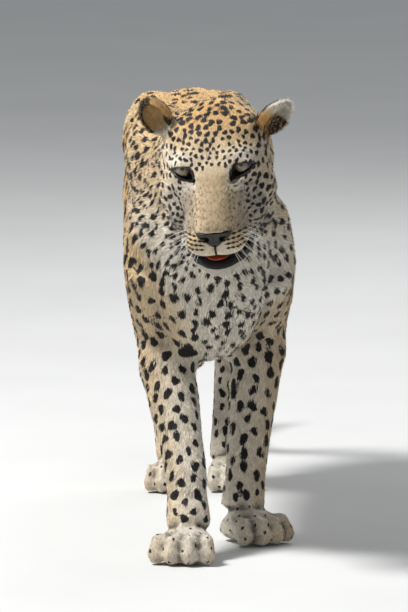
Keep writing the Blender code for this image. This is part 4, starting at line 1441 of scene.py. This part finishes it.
class LEOPARD_OT_whiskers(bpy.types.Operator):
    """Add the whiskers of the pads"""

    bl_idname = "leopard.whiskers"
    bl_label = "Whiskers"

    def execute(self, context):
        random = np.random.default_rng(context.scene.leopard_coat.seed + 2)
        tree = BVHTree.FromPolygons([Vector(p) for p in SKIN["points"]], SKIN["triangles"].tolist())
        hairs = []
        for side in (LEFT, RIGHT):
            for row in range(4):
                for step in range(4):
                    near = head_point(side * (26 + 7 * step), -84 + 11 * step, -72 - 6 * row + 2 * step)
                    root, normal, _, _ = tree.find_nearest(near)
                    sag = -0.45 - 0.30 * row - random.uniform(0, 0.55)
                    away = (HEAD.to_3x3() @ Vector((side * 0.85, 0.05 + 0.18 * step, sag))).normalized()
                    away = (away + 0.35 * normal).normalized()
                    length = random.uniform(0.045, 0.080) * (1 - 0.12 * row)
                    droop = HEAD.to_3x3() @ Vector((0, 0.35, -0.6))
                    along = np.linspace(0, 1, 9)
                    root -= normal * 0.001
                    path = [root + away * length * t + droop * length * 0.55 * t * t for t in along]
                    radii = [0.00034 * (1 - 0.85 * t) for t in along]
                    hairs.append(tube_along("hair", path, radii, 4))
        whiskers = fused("whiskers", hairs)
        whiskers.data.materials.clear()
        made, _, shader = new_material("Whisker")
        shader.inputs["Base Color"].default_value = (*linear(0.93, 0.91, 0.86), 1)
        shader.inputs["Roughness"].default_value = 0.35
        whiskers.data.materials.append(made)
        whiskers.data.shade_smooth()
        keep(whiskers, "whiskers", [])
        return {"FINISHED"}


class LEOPARD_OT_stage(bpy.types.Operator):
    """Set up the pale floor, the soft lights and the camera"""

    bl_idname = "leopard.stage"
    bl_label = "Stage"

    def execute(self, context):
        scene = context.scene
        bpy.ops.object.select_all(action="DESELECT")
        bpy.ops.mesh.primitive_plane_add(size=30, location=(0, 0, -0.0005))
        floor = bpy.context.view_layer.objects.active
        floor.name = "floor"
        made, tree, shader = new_material("Floor")
        out = mixed(tree, noise(tree, 3, 4), linear(0.80, 0.80, 0.79), linear(0.84, 0.84, 0.83))
        tree.links.new(out, shader.inputs["Base Color"])
        shader.inputs["Roughness"].default_value = 0.9
        floor.data.materials.append(made)
        world = bpy.data.worlds.new("Studio")
        world.use_nodes = True
        world.node_tree.nodes["Background"].inputs["Color"].default_value = (0.86, 0.90, 0.96, 1)
        world.node_tree.nodes["Background"].inputs["Strength"].default_value = 0.37
        scene.world = world
        for name, place, target, size, power in (
            ("key", (-2.6, -1.0, 4.6), (0, -0.35, 0.4), 1.1, 365),
            ("rim", (1.6, 3.2, 3.0), (0, 0, 0.4), 2.5, 60),
        ):
            light = bpy.data.lights.new(name, "AREA")
            light.size = size
            light.energy = power
            lamp = bpy.data.objects.new(name, light)
            lamp.location = place
            lamp.rotation_euler = (Vector(target) - Vector(place)).to_track_quat("-Z", "Y").to_euler()
            scene.collection.objects.link(lamp)
        camera = bpy.data.objects.new("camera", bpy.data.cameras.new("camera"))
        turn = math.radians(1.5)
        away = CAMERA_DISTANCE
        camera.location = Vector((-math.sin(turn) * away, -math.cos(turn) * away, CAMERA_HEIGHT)) + SHIFT
        # The horizon stands that many pixels above the frame's upper edge
        pitch = math.atan((FRAME_HEIGHT / 2 + HORIZON) / FOCAL)
        camera.rotation_euler = (math.pi / 2 - pitch, 0, -turn)
        camera.data.sensor_width = 36
        camera.data.lens = 36 * FOCAL / FRAME_HEIGHT
        camera.data.clip_end = 200
        scene.collection.objects.link(camera)
        scene.camera = camera
        scene.view_settings.view_transform = "Standard"
        return {"FINISHED"}


class LEOPARD_PT_panel(bpy.types.Panel):
    bl_idname = "LEOPARD_PT_panel"
    bl_label = "Leopard"
    bl_space_type = "VIEW_3D"
    bl_region_type = "UI"
    bl_category = "Leopard"

    def draw(self, context):
        for group in (context.scene.leopard_coat, context.scene.leopard_colours):
            for key in group.__annotations__:
                self.layout.prop(group, key)
        for operator in STEPS:
            self.layout.operator(operator.bl_idname)


STEPS = (
    LEOPARD_OT_skin,
    LEOPARD_OT_coat,
    LEOPARD_OT_eyes,
    LEOPARD_OT_mouth,
    LEOPARD_OT_whiskers,
    LEOPARD_OT_stage,
)
CLASSES = (LeopardCoatSettings, LeopardColourSettings, *STEPS, LEOPARD_PT_panel)


def register():
    for kind in CLASSES:
        bpy.utils.register_class(kind)
    bpy.types.Scene.leopard_coat = PointerProperty(type=LeopardCoatSettings)
    bpy.types.Scene.leopard_colours = PointerProperty(type=LeopardColourSettings)


def unregister():
    del bpy.types.Scene.leopard_coat
    del bpy.types.Scene.leopard_colours
    for kind in reversed(CLASSES):
        bpy.utils.unregister_class(kind)


def main():
    register()
    bpy.ops.leopard.skin()
    bpy.ops.leopard.coat()
    bpy.ops.leopard.eyes()
    bpy.ops.leopard.mouth()
    bpy.ops.leopard.whiskers()
    bpy.ops.leopard.stage()


if __name__ == "__main__":
    main()
